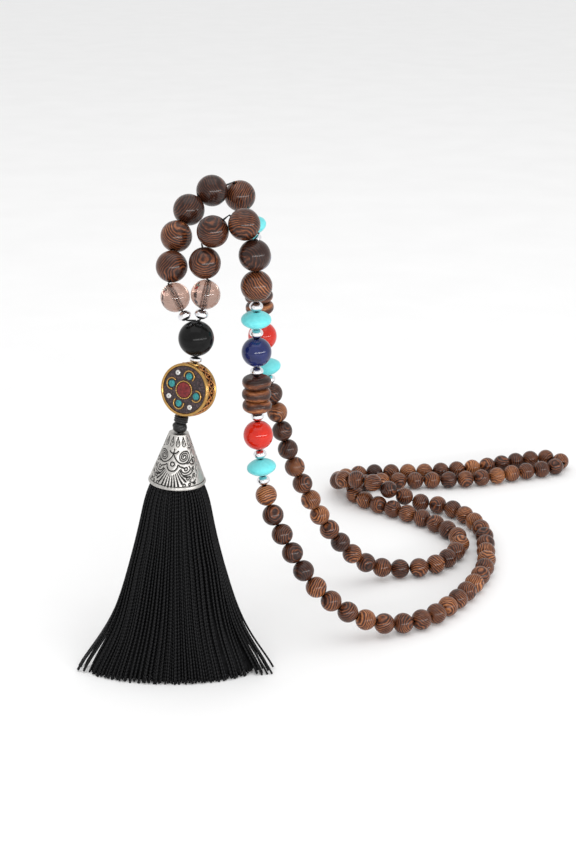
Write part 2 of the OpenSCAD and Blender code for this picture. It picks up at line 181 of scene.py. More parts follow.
def mottled_finish(name, noise, stops, gloss=None, depth=None, **values):
    """A finish whose colour, roughness and bump follow one noise. Gloss is the roughness's gain and base."""
    finish, tree, shader = new_finish(name, **values)
    mask = speckle(tree, millimetres(tree), *noise)
    feed(tree, shader.inputs, Base_Color=ramp(tree, mask, *stops))
    if gloss:
        feed(tree, shader.inputs, Roughness=scaled(tree, mask, *gloss))
    if depth:
        bump(tree, mask, depth, shader)
    return finish


def new_group(name, takes, gives):
    """A shader node group with named inputs and outputs, and the two nodes that stand for them."""
    tree = bpy.data.node_groups.new(name, "ShaderNodeTree")
    for socket, kind in takes.items():
        tree.interface.new_socket(socket, in_out="INPUT", socket_type="NodeSocket" + kind)
    for socket, kind in gives.items():
        tree.interface.new_socket(socket, in_out="OUTPUT", socket_type="NodeSocket" + kind)
    return tree, tree.nodes.new("NodeGroupInput").outputs, tree.nodes.new("NodeGroupOutput").inputs


def use_group(tree, group, inputs):
    """One use of a group in a material, with its own values."""
    return add(tree, "ShaderNodeGroup", inputs, node_tree=group).outputs


print("material helpers ready")

# %% Floor
floor_z = cad_box[0].z
floor_mesh = bpy.data.meshes.new("floor")
floor_corners = [(x, y, floor_z) for x, y in ((-9, -6), (9, -6), (9, 14), (-9, 14))]
floor_mesh.from_pydata(floor_corners, [], [(0, 1, 2, 3)])
paper = mottled_finish("pale_floor", (0.02,), ((0.3, (0.90, 0.90, 0.90)), (0.7, (0.92, 0.92, 0.92))),
                       Roughness=0.7, Specular_IOR_Level=0.15)
floor_mesh.materials.append(paper)
floor = placed("floor", floor_mesh)
print("floor at", round(floor_z / MM, 2), "mm")


# %% Lights
def soft_light(name, size, at, toward, watts):
    """A rectangular light that faces a point."""
    lamp = bpy.data.lights.new(name, "AREA")
    lamp.shape, lamp.size, lamp.size_y, lamp.energy = "RECTANGLE", size[0], size[1], watts
    holder = placed(name, lamp)
    holder.location = at
    way = np.array(toward, float) - at
    flat = math.hypot(way[0], way[1])
    holder.rotation_euler = (math.pi / 2 + math.atan2(way[2], flat), 0, math.atan2(-way[0], way[1]))


soft_light("wide_top", (1.5, 1.3), (0.0, -0.15, 1.25), (0.0, 0.05, -0.1), 5)
soft_light("thin_front", (1.7, 0.07), (0.42, -0.72, 0.08), (0.04, 0.0, -0.05), 5)
world = bpy.data.worlds.new("studio")
bpy.context.scene.world = world
world.use_nodes = True
sky = world.node_tree.nodes["Background"].inputs
sky["Color"].default_value = (1, 1, 1, 1)
sky["Strength"].default_value = 0.9


# %% [markdown]
# ## Surfaces from grids
# Nearly every piece here is a grid of points: rows along a profile or a path, and columns around it. One
# function joins such a grid with faces, another turns a profile about an axis, and a third sets finished
# points down at a place with an own way up. A bead, a ring, a wire and a thread all come from these few
# lines. Working on whole arrays keeps the making fast, and a formula is easy to change and to check.

# %% Helpers for grids
def unit(v):
    """A vector or an array of vectors at length one."""
    v = np.asarray(v, float)
    return v / np.linalg.norm(v, axis=-1, keepdims=True)


def grid_faces(rows, columns, wrap_rows=False, wrap_columns=True):
    """Four-sided faces over a grid: a point, its neighbour in the row, and the two in the next row."""
    i = np.arange(rows if wrap_rows else rows - 1)[:, None]
    j = np.arange(columns if wrap_columns else columns - 1)[None, :]
    near, far, after = i * columns, (i + 1) % rows * columns, (j + 1) % columns
    return np.stack(np.broadcast_arrays(near + j, near + after, far + after, far + j), -1).reshape(-1, 4)


def turned(profile, columns):
    """A profile of (radius, height) carried round Z: (r cos a, r sin a, h) for a over a full turn."""
    a = np.linspace(0, 2 * np.pi, columns, endpoint=False)
    r, h = profile[:, :1], profile[:, 1:]
    return np.stack([r * np.cos(a), r * np.sin(a), h + 0 * a], -1)


def ring_faces(shape):
    """Faces over a grid that closes both ways, as a ring does."""
    return grid_faces(*shape.shape[:2], wrap_rows=True)


def repeated(faces, copies, points_each):
    """The same faces for many copies of a shape that lie one after another in one list of points."""
    return (faces[None] + (np.arange(copies) * points_each)[:, None, None]).reshape(-1, faces.shape[1])


def stood(way, front=(0.0, -1.0, 0.0), spin=0.0):
    """Three axes as columns: Z along the way, X near the front, both turned by a spin about Z."""
    z = unit(way)
    x = unit(np.array(front) - z * np.dot(front, z))
    y = np.cross(z, x)
    c, s = np.cos(spin), np.sin(spin)
    return np.stack([x * c + y * s, y * c - x * s, z], 1)


def piece(name, points, faces, finish, nodes=(), slot=None, marks=None, uv=None, second=None, chosen=None):
    """A finished object from points in millimetres. It stands for its CAD nodes and rides on the root.
    Marks are attributes of the points, and the chosen faces take the second finish."""
    faces = [faces] if isinstance(faces, np.ndarray) else list(faces)
    corners = np.concatenate([f.ravel() for f in faces]).astype(np.int32)
    counts = np.concatenate([np.full(len(f), f.shape[1]) for f in faces])
    mesh = bpy.data.meshes.new(name)
    points = np.asarray(points, float).reshape(-1, 3)
    mesh.vertices.add(len(points))
    mesh.vertices.foreach_set("co", (points * MM).ravel())
    mesh.loops.add(len(corners))
    mesh.loops.foreach_set("vertex_index", corners)
    mesh.polygons.add(len(counts))
    mesh.polygons.foreach_set("loop_start", np.concatenate([[0], np.cumsum(counts)[:-1]]).astype(np.int32))
    mesh.polygons.foreach_set("use_smooth", np.ones(len(counts), bool))
    mesh.materials.append(finish)
    if second is not None:
        mesh.materials.append(second)
        mesh.polygons.foreach_set("material_index", chosen.astype(np.int32))
    for mark, values in (marks or {}).items():
        values = np.asarray(values, float)
        kind = "FLOAT_VECTOR" if values.ndim > 1 and values.shape[-1] == 3 else "FLOAT"
        layer = mesh.attributes.new(mark, kind, "POINT")
        layer.data.foreach_set("vector" if kind == "FLOAT_VECTOR" else "value", values.ravel())
    if uv is not None:
        mesh.uv_layers.new(name="UVMap").data.foreach_set("uv", uv.ravel())
    mesh.update(calc_edges=True)
    made = placed(name, mesh)
    if nodes:
        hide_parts(*nodes)
    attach(made, "root")
    if len(nodes) == 1:
        off = np.abs(np.array([points.min(0), points.max(0)]) - box_of(nodes[0])).max()
        if off > 0.25:
            print(name, "differs from its CAD box by", round(float(off), 2), "mm")


def box_of(node):
    """Lowest and highest corner of a CAD node in millimetres."""
    low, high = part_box(node)
    return np.array(low) / MM, np.array(high) / MM


def middle_of(node):
    """Middle of a CAD node's box in millimetres."""
    return sum(box_of(node)) / 2


print("grid helpers ready")

# %% [markdown]
# ## The string
# One cord carries every bead. It starts at the black bead, runs over the back arch, lies in a long loop on
# the table, comes back over the front arch and ends at the black bead again. The CAD model already holds
# the place of each bead, so the places are read from its boxes. The small beads are many solids in two
# nodes, so their triangles are sorted into islands: corners that touch get the same label until nothing
# changes any more.

# %% Order along the string
SIDE = ["quartz_bead", "large_bead", "large_bead", "large_bead", "large_bead", "large_bead", "spacer",
        "turquoise_bead", "spacer", "blue_bead", "spacer", "wood_disc", "wood_disc", "wood_disc", "spacer",
        "red_bead", "spacer", "turquoise_bead", "spacer"]
FLAT = ("spacer", "turquoise_bead", "wood_disc")


def numbered(kinds, counts):
    """CAD node names: each kind with its running number."""
    names = []
    for kind in kinds:
        counts[kind] = counts.get(kind, 0) + 1
        names.append(f"{kind}_{counts[kind]}")
    return names


counts = {}
near_names = numbered(SIDE, counts)
far_names = numbered(SIDE[::-1], counts)
print(len(near_names) + len(far_names), "single pieces on the string")


# %% Islands of the small beads
def islands(node):
    """Middles of a CAD node's separate solids: labels spread over shared corners to the lowest one."""
    mesh = bpy.data.objects[node].data
    co = np.zeros(len(mesh.vertices) * 3)
    mesh.vertices.foreach_get("co", co)
    co = co.reshape(-1, 3) / MM
    corner = np.zeros(len(mesh.loops), np.int64)
    mesh.loops.foreach_get("vertex_index", corner)
    spots, same = np.unique(np.round(co, 3), axis=0, return_inverse=True)
    triangles = same.ravel()[corner].reshape(-1, 3)
    label = np.arange(len(spots))
    while True:
        lowest = label[triangles].min(1)
        new = label.copy()
        np.minimum.at(new, triangles.ravel(), np.repeat(lowest, 3))
        new = new[new]
        if (new == label).all():
            break
        label = new
    kinds, which = np.unique(label, return_inverse=True)
    low, high = np.full((len(kinds), 3), 1e9), np.full((len(kinds), 3), -1e9)
    np.minimum.at(low, which, spots)
    np.maximum.at(high, which, spots)
    return (low + high) / 2


def in_line(spots, start):
    """Spots in string order: from a start, always on to the nearest one left, with a bias to go straight."""
    left, order, at, way = list(range(len(spots))), [], np.array(start), np.zeros(3)
    while left:
        step = spots[left] - at
        length = np.linalg.norm(step, axis=1)
        best = left[int(np.argmin(length - 1.5 * (step @ way) / length))]
        way = unit(spots[best] - at)
        at = spots[best]
        order.append(best)
        left.remove(best)
    return spots[order]


near_small = in_line(islands("small_beads_near"), middle_of(near_names[-1]))
far_small = in_line(islands("small_beads_far"), near_small[-1])
small_at = np.concatenate([near_small, far_small])
steps = np.linalg.norm(np.diff(small_at, axis=0), axis=1)
print(len(small_at), "small beads, steps of", round(steps.min(), 2), "to", round(steps.max(), 2), "mm")

# %% The way of each hole
LENGTHS = {"quartz_bead": 10.2, "large_bead": 11, "spacer": 3.6, "turquoise_bead": 6.2, "blue_bead": 10.6,
           "wood_disc": 4.2, "red_bead": 10.7, "small_bead": 7.8}
black_at = middle_of("black_bead")
places = np.concatenate([[middle_of(n) for n in near_names], small_at, [middle_of(n) for n in far_names]])
kinds = SIDE + ["small_bead"] * len(small_at) + SIDE[::-1]
half_length = np.array([LENGTHS[k] for k in kinds])[:, None] / 2
ringed = np.concatenate([[black_at], places, [black_at]])
flat = np.array([True] + [k in FLAT for k in kinds] + [True])
before, after = unit(ringed[1:-1] - ringed[:-2]), unit(ringed[2:] - ringed[1:-1])
holes = unit(before + after)
for i in range(1, len(ringed) - 1):
    if flat[i]:
        low = max(j for j in range(i) if j == 0 or not flat[j])
        high = min(j for j in range(i + 1, len(flat)) if j == len(flat) - 1 or not flat[j])
        holes[i - 1] = unit(ringed[high] - ringed[low])
    elif flat[i - 1] != flat[i + 1]:
        holes[i - 1] = before[i - 1] if flat[i - 1] else after[i - 1]
held = flat[:-2] | flat[1:-1] | flat[2:]
for _ in range(2):
    mouths = places - holes * half_length, places + holes * half_length
    eased = unit(np.roll(mouths[0], -1, 0) - np.roll(mouths[1], 1, 0))
    holes = np.where(held[:, None], holes, eased)
where = {name: i for i, name in enumerate(near_names + [""] * len(small_at) + far_names)}
print("holes worked out for", len(holes), "pieces")

# %% [markdown]
# ## Turned wood
# The wood is dark and banded: fine light lines on near-black brown, which a lathe cuts into stripes, arcs
# or small targets, as the layers happen to lie. A sphere cut through flat layers shows exactly that, so
# the pattern is a set of flat layers in space, bent a little by noise. Each bead carries its own turned
# copy of its coordinates in an attribute, and its own tone, so that no two beads look the same.

# %% Wood grain group
grain, takes, gives = new_group("Banded wood", {"Grain": "Vector", "Tone": "Float", "Line": "Float"},
                                {"Color": "Color", "Roughness": "Float", "Height": "Float"})
bend = speckle(grain, takes["Grain"], 0.16, 2.0)
across = add(grain, "ShaderNodeSeparateXYZ", {0: takes["Grain"]}).outputs[0]
layer = maths(grain, "ADD", across, maths(grain, "MULTIPLY", bend, 3.0))
wave = maths(grain, "SINE", maths(grain, "MULTIPLY", layer, takes["Line"]))
line = scaled(grain, wave, 0.5, 0.5)
fleck = speckle(grain, takes["Grain"], 1.5, 3.0, (3.2, 0.35, 0.5))
patch = speckle(grain, takes["Grain"], 0.12, 1.0)
light = maths(grain, "ADD", maths(grain, "MULTIPLY", line, 0.40), maths(grain, "MULTIPLY", fleck, 0.62))
light = maths(grain, "ADD", light, scaled(grain, takes["Tone"], 0.42, -0.28))
light = maths(grain, "ADD", light, scaled(grain, patch, 0.5, -0.25), clamp=True)
colour = ramp(grain, light, (0.24, (0.018, 0.006, 0.004)), (0.46, (0.058, 0.019, 0.010)),
              (0.66, (0.18, 0.055, 0.020)), (0.92, (0.48, 0.19, 0.065)))
feed(grain, gives, Color=colour, Roughness=scaled(grain, light, -0.1, 0.36), Height=light)


def wood_finish(name, line, roughness, depth):
    """Polished banded wood. Line is how many radians of banding there are per millimetre."""
    finish, tree, shader = new_finish(name, Specular_IOR_Level=0.12, Coat_Weight=0.45, Coat_Roughness=0.15)
    marks = [add(tree, "ShaderNodeAttribute", attribute_name=n).outputs for n in ("grain", "tone")]
    out = use_group(tree, grain, {"Grain": marks[0]["Vector"], "Tone": marks[1]["Fac"], "Line": line})
    rough = maths(tree, "ADD", out["Roughness"], roughness)
    feed(tree, shader.inputs, Base_Color=out["Color"], Roughness=rough)
    bump(tree, out["Height"], depth, shader)
    return finish


wood = wood_finish("turned_wood", 8.2, 0.05, 0.04)
disc_wood = wood_finish("sawn_wood_disc", 1.9, 0.16, 0.3)
print("wood finishes ready")


# %% [markdown]
# ## Drilled shapes
# A bead is a ball with a hole, a spacer and a turquoise bead are lenses with a hole, and a wood disc is a
# thick ring with round edges. All four are one closed profile turned about the hole: up the outside, over
# a small soft lip and down the wall of the hole. Closing the profile gives the hole a real inside.

# %% Profiles
# Width of the hole in all pieces on the string but the black bead, and radius of its soft lip, in mm.
HOLE, LIP = 1.8, 0.2


def closed_profile(outer, hole, lip):
    """The outside from bottom to top, then quarter circles over both lips and the wall of the hole."""
    a = np.linspace(0, np.pi / 2, 4)[1:]
    top, bottom = outer[-1, 1], outer[0, 1]
    over = np.stack([hole + lip - lip * np.sin(a), top - lip + lip * np.cos(a)], 1)
    under = np.stack([hole + lip - lip * np.sin(a), bottom + lip - lip * np.cos(a)], 1)[::-1]
    return np.concatenate([outer, over, under])


def ball_profile(d, rows, hole=HOLE):
    """Half circle of diameter d, cut off where it meets the lip of the hole."""
    top = math.acos((hole / 2 + LIP) / (d / 2))
    a = np.linspace(-top, top, rows)
    return closed_profile(d / 2 * np.stack([np.cos(a), np.sin(a)], 1), hole / 2, LIP)


def lens_profile(d, h, edge, rows, hole=HOLE):
    """Two wide arcs that run into a round edge, the same rule as in the CAD source."""
    edge = min(edge, 0.42 * h)
    a = d / 2 - edge
    arc = (a ** 2 + h ** 2 / 4 - edge ** 2) / (h - 2 * edge)
    turn = math.asin(a / (arc - edge))
    b = np.linspace(math.asin((hole / 2 + LIP) / arc), turn, rows)
    low = np.stack([arc * np.sin(b), arc - h / 2 - arc * np.cos(b)], 1)
    e = np.linspace(turn - np.pi / 2, np.pi / 2 - turn, rows)
    rim = np.stack([a + edge * np.cos(e), edge * np.sin(e)], 1)[1:-1]
    return closed_profile(np.concatenate([low, rim, low[::-1] * [1, -1]]), hole / 2, LIP)


def disc_profile(d, h, edge, rows):
    """A flat disc whose side is two quarter circles with a short straight wall between them."""
    a = np.linspace(0, np.pi / 2, rows)
    flat = np.linspace(HOLE / 2 + LIP, d / 2 - edge, 6)[:-1]
    quarter = np.stack([d / 2 - edge + edge * np.sin(a), edge - h / 2 - edge * np.cos(a)], 1)
    low = np.concatenate([np.stack([flat, -h / 2 + 0 * flat], 1), quarter])
    return closed_profile(np.concatenate([low, low[::-1] * [1, -1]]), HOLE / 2, LIP)


def random_turns(count):
    """Random rotations from normalised random quaternions."""
    w, x, y, z = unit(rng.normal(size=(count, 4))).T
    return np.stack([np.stack([1 - 2 * (y * y + z * z), 2 * (x * y - z * w), 2 * (x * z + y * w)], -1),
                     np.stack([2 * (x * y + z * w), 1 - 2 * (x * x + z * z), 2 * (y * z - x * w)], -1),
                     np.stack([2 * (x * z - y * w), 2 * (y * z + x * w), 1 - 2 * (x * x + y * y)], -1)], 1)


def beads(shape, spots, ways, tones):
    """Copies of one drilled shape at many spots, each with its own hole way, grain turn and tone."""
    flat_shape = shape.reshape(-1, 3)
    axes = np.array([stood(w, (0.3, -0.9, 0.31), rng.uniform(0, 6.28)) for w in ways])
    points = np.einsum("pj,kij->kpi", flat_shape, axes) + np.asarray(spots)[:, None]
    own = np.einsum("pj,kij->kpi", flat_shape, random_turns(len(spots)))
    own = own + rng.uniform(-60, 60, (len(spots), 1, 3))
    return points, own, np.repeat(tones, len(flat_shape))


def on_string(shape, node, tone=0):
    """One drilled shape where its CAD node lies, with the hole along the string."""
    return beads(shape, [places[where[node]]], [holes[where[node]]], [tone])


print("profiles ready")

# %% Large wood beads
# The tones follow the real beads, from dark to striped, in string order.
LARGE_TONES = [0.40, 0.55, 0.2, 0.14, 0.34, 0.58, 0.16, 0.42, 0.46, 0.38]
large_shape = turned(ball_profile(LENGTHS["large_bead"], 40), 64)
large_faces = ring_faces(large_shape)
for n, large_tone in enumerate(LARGE_TONES, 1):
    points, own, tone = on_string(large_shape, f"large_bead_{n}", large_tone)
    marks = {"grain": own[0], "tone": tone}
    piece(f"large_wood_{n}", points, large_faces, wood, [f"large_bead_{n}"], "wood", marks)
print("large beads:", len(large_faces) * 2, "triangles each")

# %% Small wood beads
small_shape = turned(ball_profile(LENGTHS["small_bead"], 22), 36)
small_faces = ring_faces(small_shape)
small_ways = holes[len(SIDE):len(SIDE) + len(small_at)]
tones = 0.2 + 0.8 * rng.beta(1.4, 1.2, len(small_at))
for name, node, part in (("small_wood_near", "small_beads_near", slice(0, len(near_small))),
                         ("small_wood_far", "small_beads_far", slice(len(near_small), None))):
    points, own, tone = beads(small_shape, small_at[part], small_ways[part], tones[part])
    faces = repeated(small_faces, len(points), small_shape.shape[0] * small_shape.shape[1])
    piece(name, points, faces, wood, [node], "wood", {"grain": own.reshape(-1, 3), "tone": tone})
    print(name, len(faces) * 2, "triangles")

# %% Wood discs
# Their sides are a little out of round, each with its own turn, and their layers lie across the hole.
disc_shape = turned(disc_profile(10.6, LENGTHS["wood_disc"], 1.95, 14), 64)
disc_faces = ring_faces(disc_shape)
for n in range(1, 7):
    a = np.arctan2(disc_shape[..., 1], disc_shape[..., 0]) + rng.uniform(0, 6.28)
    side = np.hypot(disc_shape[..., 0], disc_shape[..., 1]) > 2
    uneven = 1 - side * (0.012 * (1 + np.cos(3 * a)) + 0.006 * (1 + np.cos(7 * a + 1)))
    shape = disc_shape * np.stack([uneven, uneven, 1 + 0 * uneven], -1)
    points, own, tone = on_string(shape, f"wood_disc_{n}", rng.uniform(0.5, 0.66))
    own = shape.reshape(-1, 3)[:, [2, 0, 1]] + rng.uniform(-60, 60, 3)
    marks = {"grain": own, "tone": tone}
    piece(f"sawn_disc_{n}", points, disc_faces, disc_wood, [f"wood_disc_{n}"], "wood", marks)
print("wood discs:", len(disc_faces) * 2, "triangles each")

# %% [markdown]
# ## Stones and glass
# The coloured beads are polished stone or glazed clay. Close up, none of them is one flat colour: the
# turquoise is clouded, the blue has darker drifts and the red is a little deeper in places. One group
# makes such clouds for all of them. The two smoky beads are clear. They let the dark hole and the thread
# show through, so they are real glass. Only the wall of the hole is matt, and its dark edges are painted
# shade: its colour turns dark where it is seen at a low angle.

# %% Clouded stone group
clouds, takes, gives = new_group("Clouded stone",
                                 {"Place": "Vector", "Size": "Float", "Low": "Color", "High": "Color"},
                                 {"Color": "Color", "Mask": "Float"})
drift = add(clouds, "ShaderNodeTexNoise", {"Vector": takes["Place"], "Scale": takes["Size"], "Detail": 4.0,
                                           "Distortion": 1.2}).outputs[0]
drift = stretched(clouds, drift, 0.3, 0.72)
feed(clouds, gives, Color=mixed(clouds, drift, takes["Low"], takes["High"]), Mask=drift)


def stone_finish(name, size, low, high, roughness, **values):
    """Polished stone with clouds between two colours, and a polish that varies a little with them."""
    finish, tree, shader = new_finish(name, **values)
    out = use_group(tree, clouds, {"Place": millimetres(tree), "Size": size,
                                   "Low": (*low, 1), "High": (*high, 1)})
    feed(tree, shader.inputs, Base_Color=out["Color"], Roughness=scaled(tree, out["Mask"], 0.05, roughness))
    bump(tree, out["Mask"], 0.012, shader)
    return finish


turquoise = stone_finish("clouded_turquoise", 0.35, (0.125, 0.60, 0.63), (0.175, 0.70, 0.73), 0.28,
                         Specular_IOR_Level=0.35)
blue = stone_finish("navy_stone", 0.3, (0.006, 0.010, 0.062), (0.013, 0.021, 0.12), 0.08,
                    Specular_IOR_Level=0.35, Coat_Weight=0.2, Coat_Roughness=0.03)
red = stone_finish("red_stone", 0.3, (0.50, 0.012, 0.004), (0.61, 0.021, 0.007), 0.08,
                   Specular_IOR_Level=0.3, Coat_Weight=0.2, Coat_Roughness=0.03)
black = stone_finish("black_stone", 0.3, (0.004, 0.004, 0.004), (0.008, 0.008, 0.008), 0.14,
                     Specular_IOR_Level=0.14)
smoky = stone_finish("smoky_glass", 0.25, (0.43, 0.265, 0.21), (0.53, 0.36, 0.30), 0.0,
                     Transmission_Weight=1.0, IOR=1.5)
bore_wall = stone_finish("hole_wall", 0.9, (0.60, 0.50, 0.46), (0.80, 0.72, 0.68), 0.12,
                         Transmission_Weight=0.75, IOR=1.5)
# Painted shade: inside the glass the colour of the hole's wall turns dark where it is seen at a low
# angle. It stands in for the dark edges of real glass.
tree = bore_wall.node_tree
grazing_shade = add(tree, "ShaderNodeLayerWeight", {"Blend": 0.5}).outputs["Facing"]
grazing_shade = stretched(tree, grazing_shade, 0.25, 0.45)
shader = tree.nodes["Principled BSDF"]
clouded = shader.inputs["Base Color"].links[0].from_socket
feed(tree, shader.inputs, Base_Color=mixed(tree, grazing_shade, clouded, (0.012, 0.005, 0.004)))
print("stone finishes ready")

# %% Stone and glass beads
for kind, name, count, finish, slot, profile in (
        ("turquoise_bead", "turquoise_lens", 4, turquoise, "turquoise",
         lens_profile(10.6, LENGTHS["turquoise_bead"], 1.7, 12)),
        ("blue_bead", "navy_ball", 2, blue, "blue_stone", ball_profile(LENGTHS["blue_bead"], 40)),
        ("red_bead", "red_ball", 2, red, "red_stone", ball_profile(LENGTHS["red_bead"], 40)),
        ("quartz_bead", "smoky_ball", 2, smoky, "smoky_quartz", ball_profile(LENGTHS["quartz_bead"], 48))):
    shape = turned(profile, 72)
    faces = ring_faces(shape)
    wall = np.arange(len(faces)) // 72 == len(profile) - 4
    extra = {"second": bore_wall, "chosen": wall} if kind == "quartz_bead" else {}
    for n in range(1, count + 1):
        points = on_string(shape, f"{kind}_{n}")[0]
        piece(f"{name}_{n}", points, faces, finish, [f"{kind}_{n}"], slot, **extra)
    print(name, len(faces) * 2, "triangles each")

# %% [markdown]
# ## Metals
# The metals here are bright chrome on the spacers, warm and reddish brass round the amulet, a pale metal in
# its dots and dull old silver on the cap. Real metal always carries fine rubs and a little haze, which break
# up its reflections. One group gives them all the same kind of wear, and each sets how strong it is.

# %% Metal wear group
wear, takes, gives = new_group("Metal wear",
                               {"Place": "Vector", "Bright": "Color", "Dull": "Color", "Base": "Float"},
                               {"Color": "Color", "Roughness": "Float", "Height": "Float"})
haze = speckle(wear, takes["Place"], 0.8, 3.0)
rubs = speckle(wear, takes["Place"], 2.2, 4.0, (1, 1, 6))
amount = maths(wear, "MULTIPLY", haze, rubs)
dulled = maths(wear, "MULTIPLY", amount, 2.0, clamp=True)
feed(wear, gives, Color=mixed(wear, dulled, takes["Bright"], takes["Dull"]), Height=amount,
     Roughness=maths(wear, "ADD", takes["Base"], maths(wear, "MULTIPLY", amount, 0.25)))


def worn_metal(name, bright, dull, base, depth):
    """A finish of metal with fine wear between a bright and a dull colour, and its parts."""
    finish, tree, shader = new_finish(name, Metallic=1.0)
    out = use_group(tree, wear, {"Place": millimetres(tree), "Bright": (*bright, 1), "Dull": (*dull, 1),
                                 "Base": base})
    bump(tree, out["Height"], depth, shader)
    return finish, tree, shader, out


def metal_finish(*values):
    """Metal whose colour and roughness come from its wear alone."""
    finish, tree, shader, out = worn_metal(*values)
    feed(tree, shader.inputs, Base_Color=out["Color"], Roughness=out["Roughness"])
    return finish


chrome = metal_finish("bright_chrome", (0.90, 0.90, 0.92), (0.72, 0.72, 0.75), 0.02, 0.004)
brass = metal_finish("warm_brass", (0.64, 0.40, 0.133), (0.30, 0.15, 0.045), 0.2, 0.02)
red_brass = metal_finish("red_brass", (0.62, 0.29, 0.10), (0.26, 0.10, 0.035), 0.26, 0.03)
white_metal = metal_finish("white_metal", (0.86, 0.86, 0.84), (0.55, 0.53, 0.50), 0.24, 0.02)
print("metal finishes ready")

# %% The pendant's chain of pieces
# Every piece under the black bead hangs with its own small lean, given as degrees to the left and to the
# front. The places follow from the sizes, as in the CAD source. Heights and widths are in millimetres.
BLACK_D, LOW_SPACER_H, AMULET_D, COLLAR_H, GAP = 12.4, 2.1, 18.6, 0.3, 0.25
WRAP_H, BALL_H, CAP_H, TASSEL_REACH = 2.3, 3.6, 18.3, 18.2


def down(left, front):
    """The way that a piece with this lean points."""
    return unit([-math.tan(math.radians(left)), -math.tan(math.radians(front)), -1])


black_way, spacer_way, amulet_way = down(2, 6), down(8, 6), down(15, 6)
knot_way, cap_way = down(11, 3), down(3.3, 0)
amulet_half = AMULET_D / 2 + COLLAR_H
low_spacer_at = black_at + black_way * (BLACK_D / 2 + 0.12 + LOW_SPACER_H / 2)
amulet_at = low_spacer_at + spacer_way * (LOW_SPACER_H / 2 + GAP) + amulet_way * amulet_half
knot_at = amulet_at + amulet_way * (amulet_half + GAP)
cap_at = knot_at + knot_way * (WRAP_H + BALL_H + GAP)
rim_at = cap_at + cap_way * CAP_H
foot_at = np.array([rim_at[0] - 1, rim_at[1] - TASSEL_REACH, floor_z / MM])
print("pendant from", black_at.round(1), "to", foot_at.round(1))

# %% Silver spacers
# The last one is the low spacer under the black bead, and the two before it point at that bead.
spacer_shape = turned(lens_profile(4.8, LENGTHS["spacer"], 1.2, 10), 48)
low_shape = turned(lens_profile(4.4, LOW_SPACER_H, 0.8, 10), 48)
spacer_faces = ring_faces(spacer_shape)
for n in range(1, 16):
    node = f"spacer_{n}"
    spot = middle_of(node)
    way = holes[where[node]] if node in where else (spacer_way if n == 15 else unit(spot - black_at))
    points = beads(low_shape if n == 15 else spacer_shape, [spot], [way], [0])[0]
    piece(f"chrome_spacer_{n}", points, spacer_faces, chrome, [node], "silver_spacer")
print("spacers:", len(spacer_faces) * 2, "triangles each")

# %% Black bead
black_shape = turned(ball_profile(BLACK_D, 44, hole=2.4), 80)
points = beads(black_shape, [black_at], [-black_way], [0])[0]
piece("black_ball", points, ring_faces(black_shape), black, ["black_bead"], "black_stone")
print("black bead:", len(points[0]), "points")

# %% [markdown]
# ## The amulet
# The amulet is a small drum of brass with the same dark inlaid face on both sides. A round rim holds the
# face, a red stone sits in the middle in a ring of tiny beads, four teal dots lie in horseshoes of wire
# that open to the middle, and small white dots sit between them. One of those has been lost and has left a
# dimple. Round the side runs openwork of bent wire over a dark ground.

# %% The amulet's own axes
turn_y, turn_z = math.acos(-amulet_way[2]), math.atan2(-amulet_way[1], -amulet_way[0])


def about_z(angle):
    """Rotation about Z."""
    c, s = math.cos(angle), math.sin(angle)
    return np.array([[c, -s, 0], [s, c, 0], [0, 0, 1]])


FACING, PATTERN_TURN = math.radians(-27), math.radians(-8)
c, s = math.cos(turn_y), math.sin(turn_y)
tip_y = np.array([[c, 0, s], [0, 1, 0], [-s, 0, c]])
amulet_axes = about_z(turn_z) @ tip_y @ about_z(-turn_z) @ about_z(FACING)
FACE_R, FACE_Y = AMULET_D / 2 - 1.0, 7.0 / 2 - 0.4


def in_amulet(points):
    """Points of the amulet's own axes set down in the frame."""
    return np.asarray(points).reshape(-1, 3) @ amulet_axes.T + amulet_at


def on_face(points, back=False):
    """Points as (right, up, out) over a face, turned by the pattern's turn, for the front or the back."""
    p = np.asarray(points, float).reshape(-1, 3) @ about_z(PATTERN_TURN).T
    p = np.stack([p[:, 0], -p[:, 2] - FACE_Y, p[:, 1]], 1)
    return in_amulet(p * [-1, -1, 1] if back else p)


def drum_ring(profile, columns):
    """A closed profile of (radius, depth) turned about the amulet's short axis, with its faces."""
    p = turned(np.asarray(profile), columns)
    return in_amulet(np.stack([p[..., 0], p[..., 2], -p[..., 1]], -1)), ring_faces(p)


print("amulet faces", [round(float(v), 2) for v in amulet_axes @ [0, -1, 0]])


# %% Tubes along a path
def tube(path, radius, columns, closed=False, swell=None):
    """Rings round a path: each ring lies across the path's way, with one axis kept near a fixed direction."""
    path = np.asarray(path, float)
    way = unit(np.roll(path, -1, 0) - np.roll(path, 1, 0)) if closed else unit(np.gradient(path, axis=0))
    side = unit(np.cross(way, np.broadcast_to([0.12, 0.31, 0.94], way.shape)))
    up = np.cross(side, way)
    a = np.linspace(0, 2 * np.pi, columns, endpoint=False)
    r = (radius * (1 if swell is None else swell)) * np.ones(len(path))
    around = np.cos(a)[:, None] * side[:, None] + np.sin(a)[:, None] * up[:, None]
    return path[:, None] + r[:, None, None] * around


def ends_of(rows, columns):
    """Two many-sided faces that close a tube at its first and last ring."""
    return np.stack([np.arange(columns)[::-1], (rows - 1) * columns + np.arange(columns)])


def joined(parts):
    """Several (points, faces) joined into one list of points and one list of faces, by number of corners."""
    points, faces, start = [], {}, 0
    for p, fs in parts:
        p = np.asarray(p).reshape(-1, 3)
        points.append(p)
        for f in (fs if isinstance(fs, list) else [fs]):
            faces.setdefault(f.shape[1], []).append(f + start)
        start += len(p)
    return np.concatenate(points), [np.concatenate(f) for f in faces.values()]


def wire(path, radius, columns, closed=False, swell=None):
    """A tube with its faces, ready to join."""
    p = tube(path, radius, columns, closed, swell)
    faces = [grid_faces(len(p), columns, wrap_rows=closed)]
    return p.reshape(-1, 3), faces if closed else faces + [ends_of(len(p), columns)]


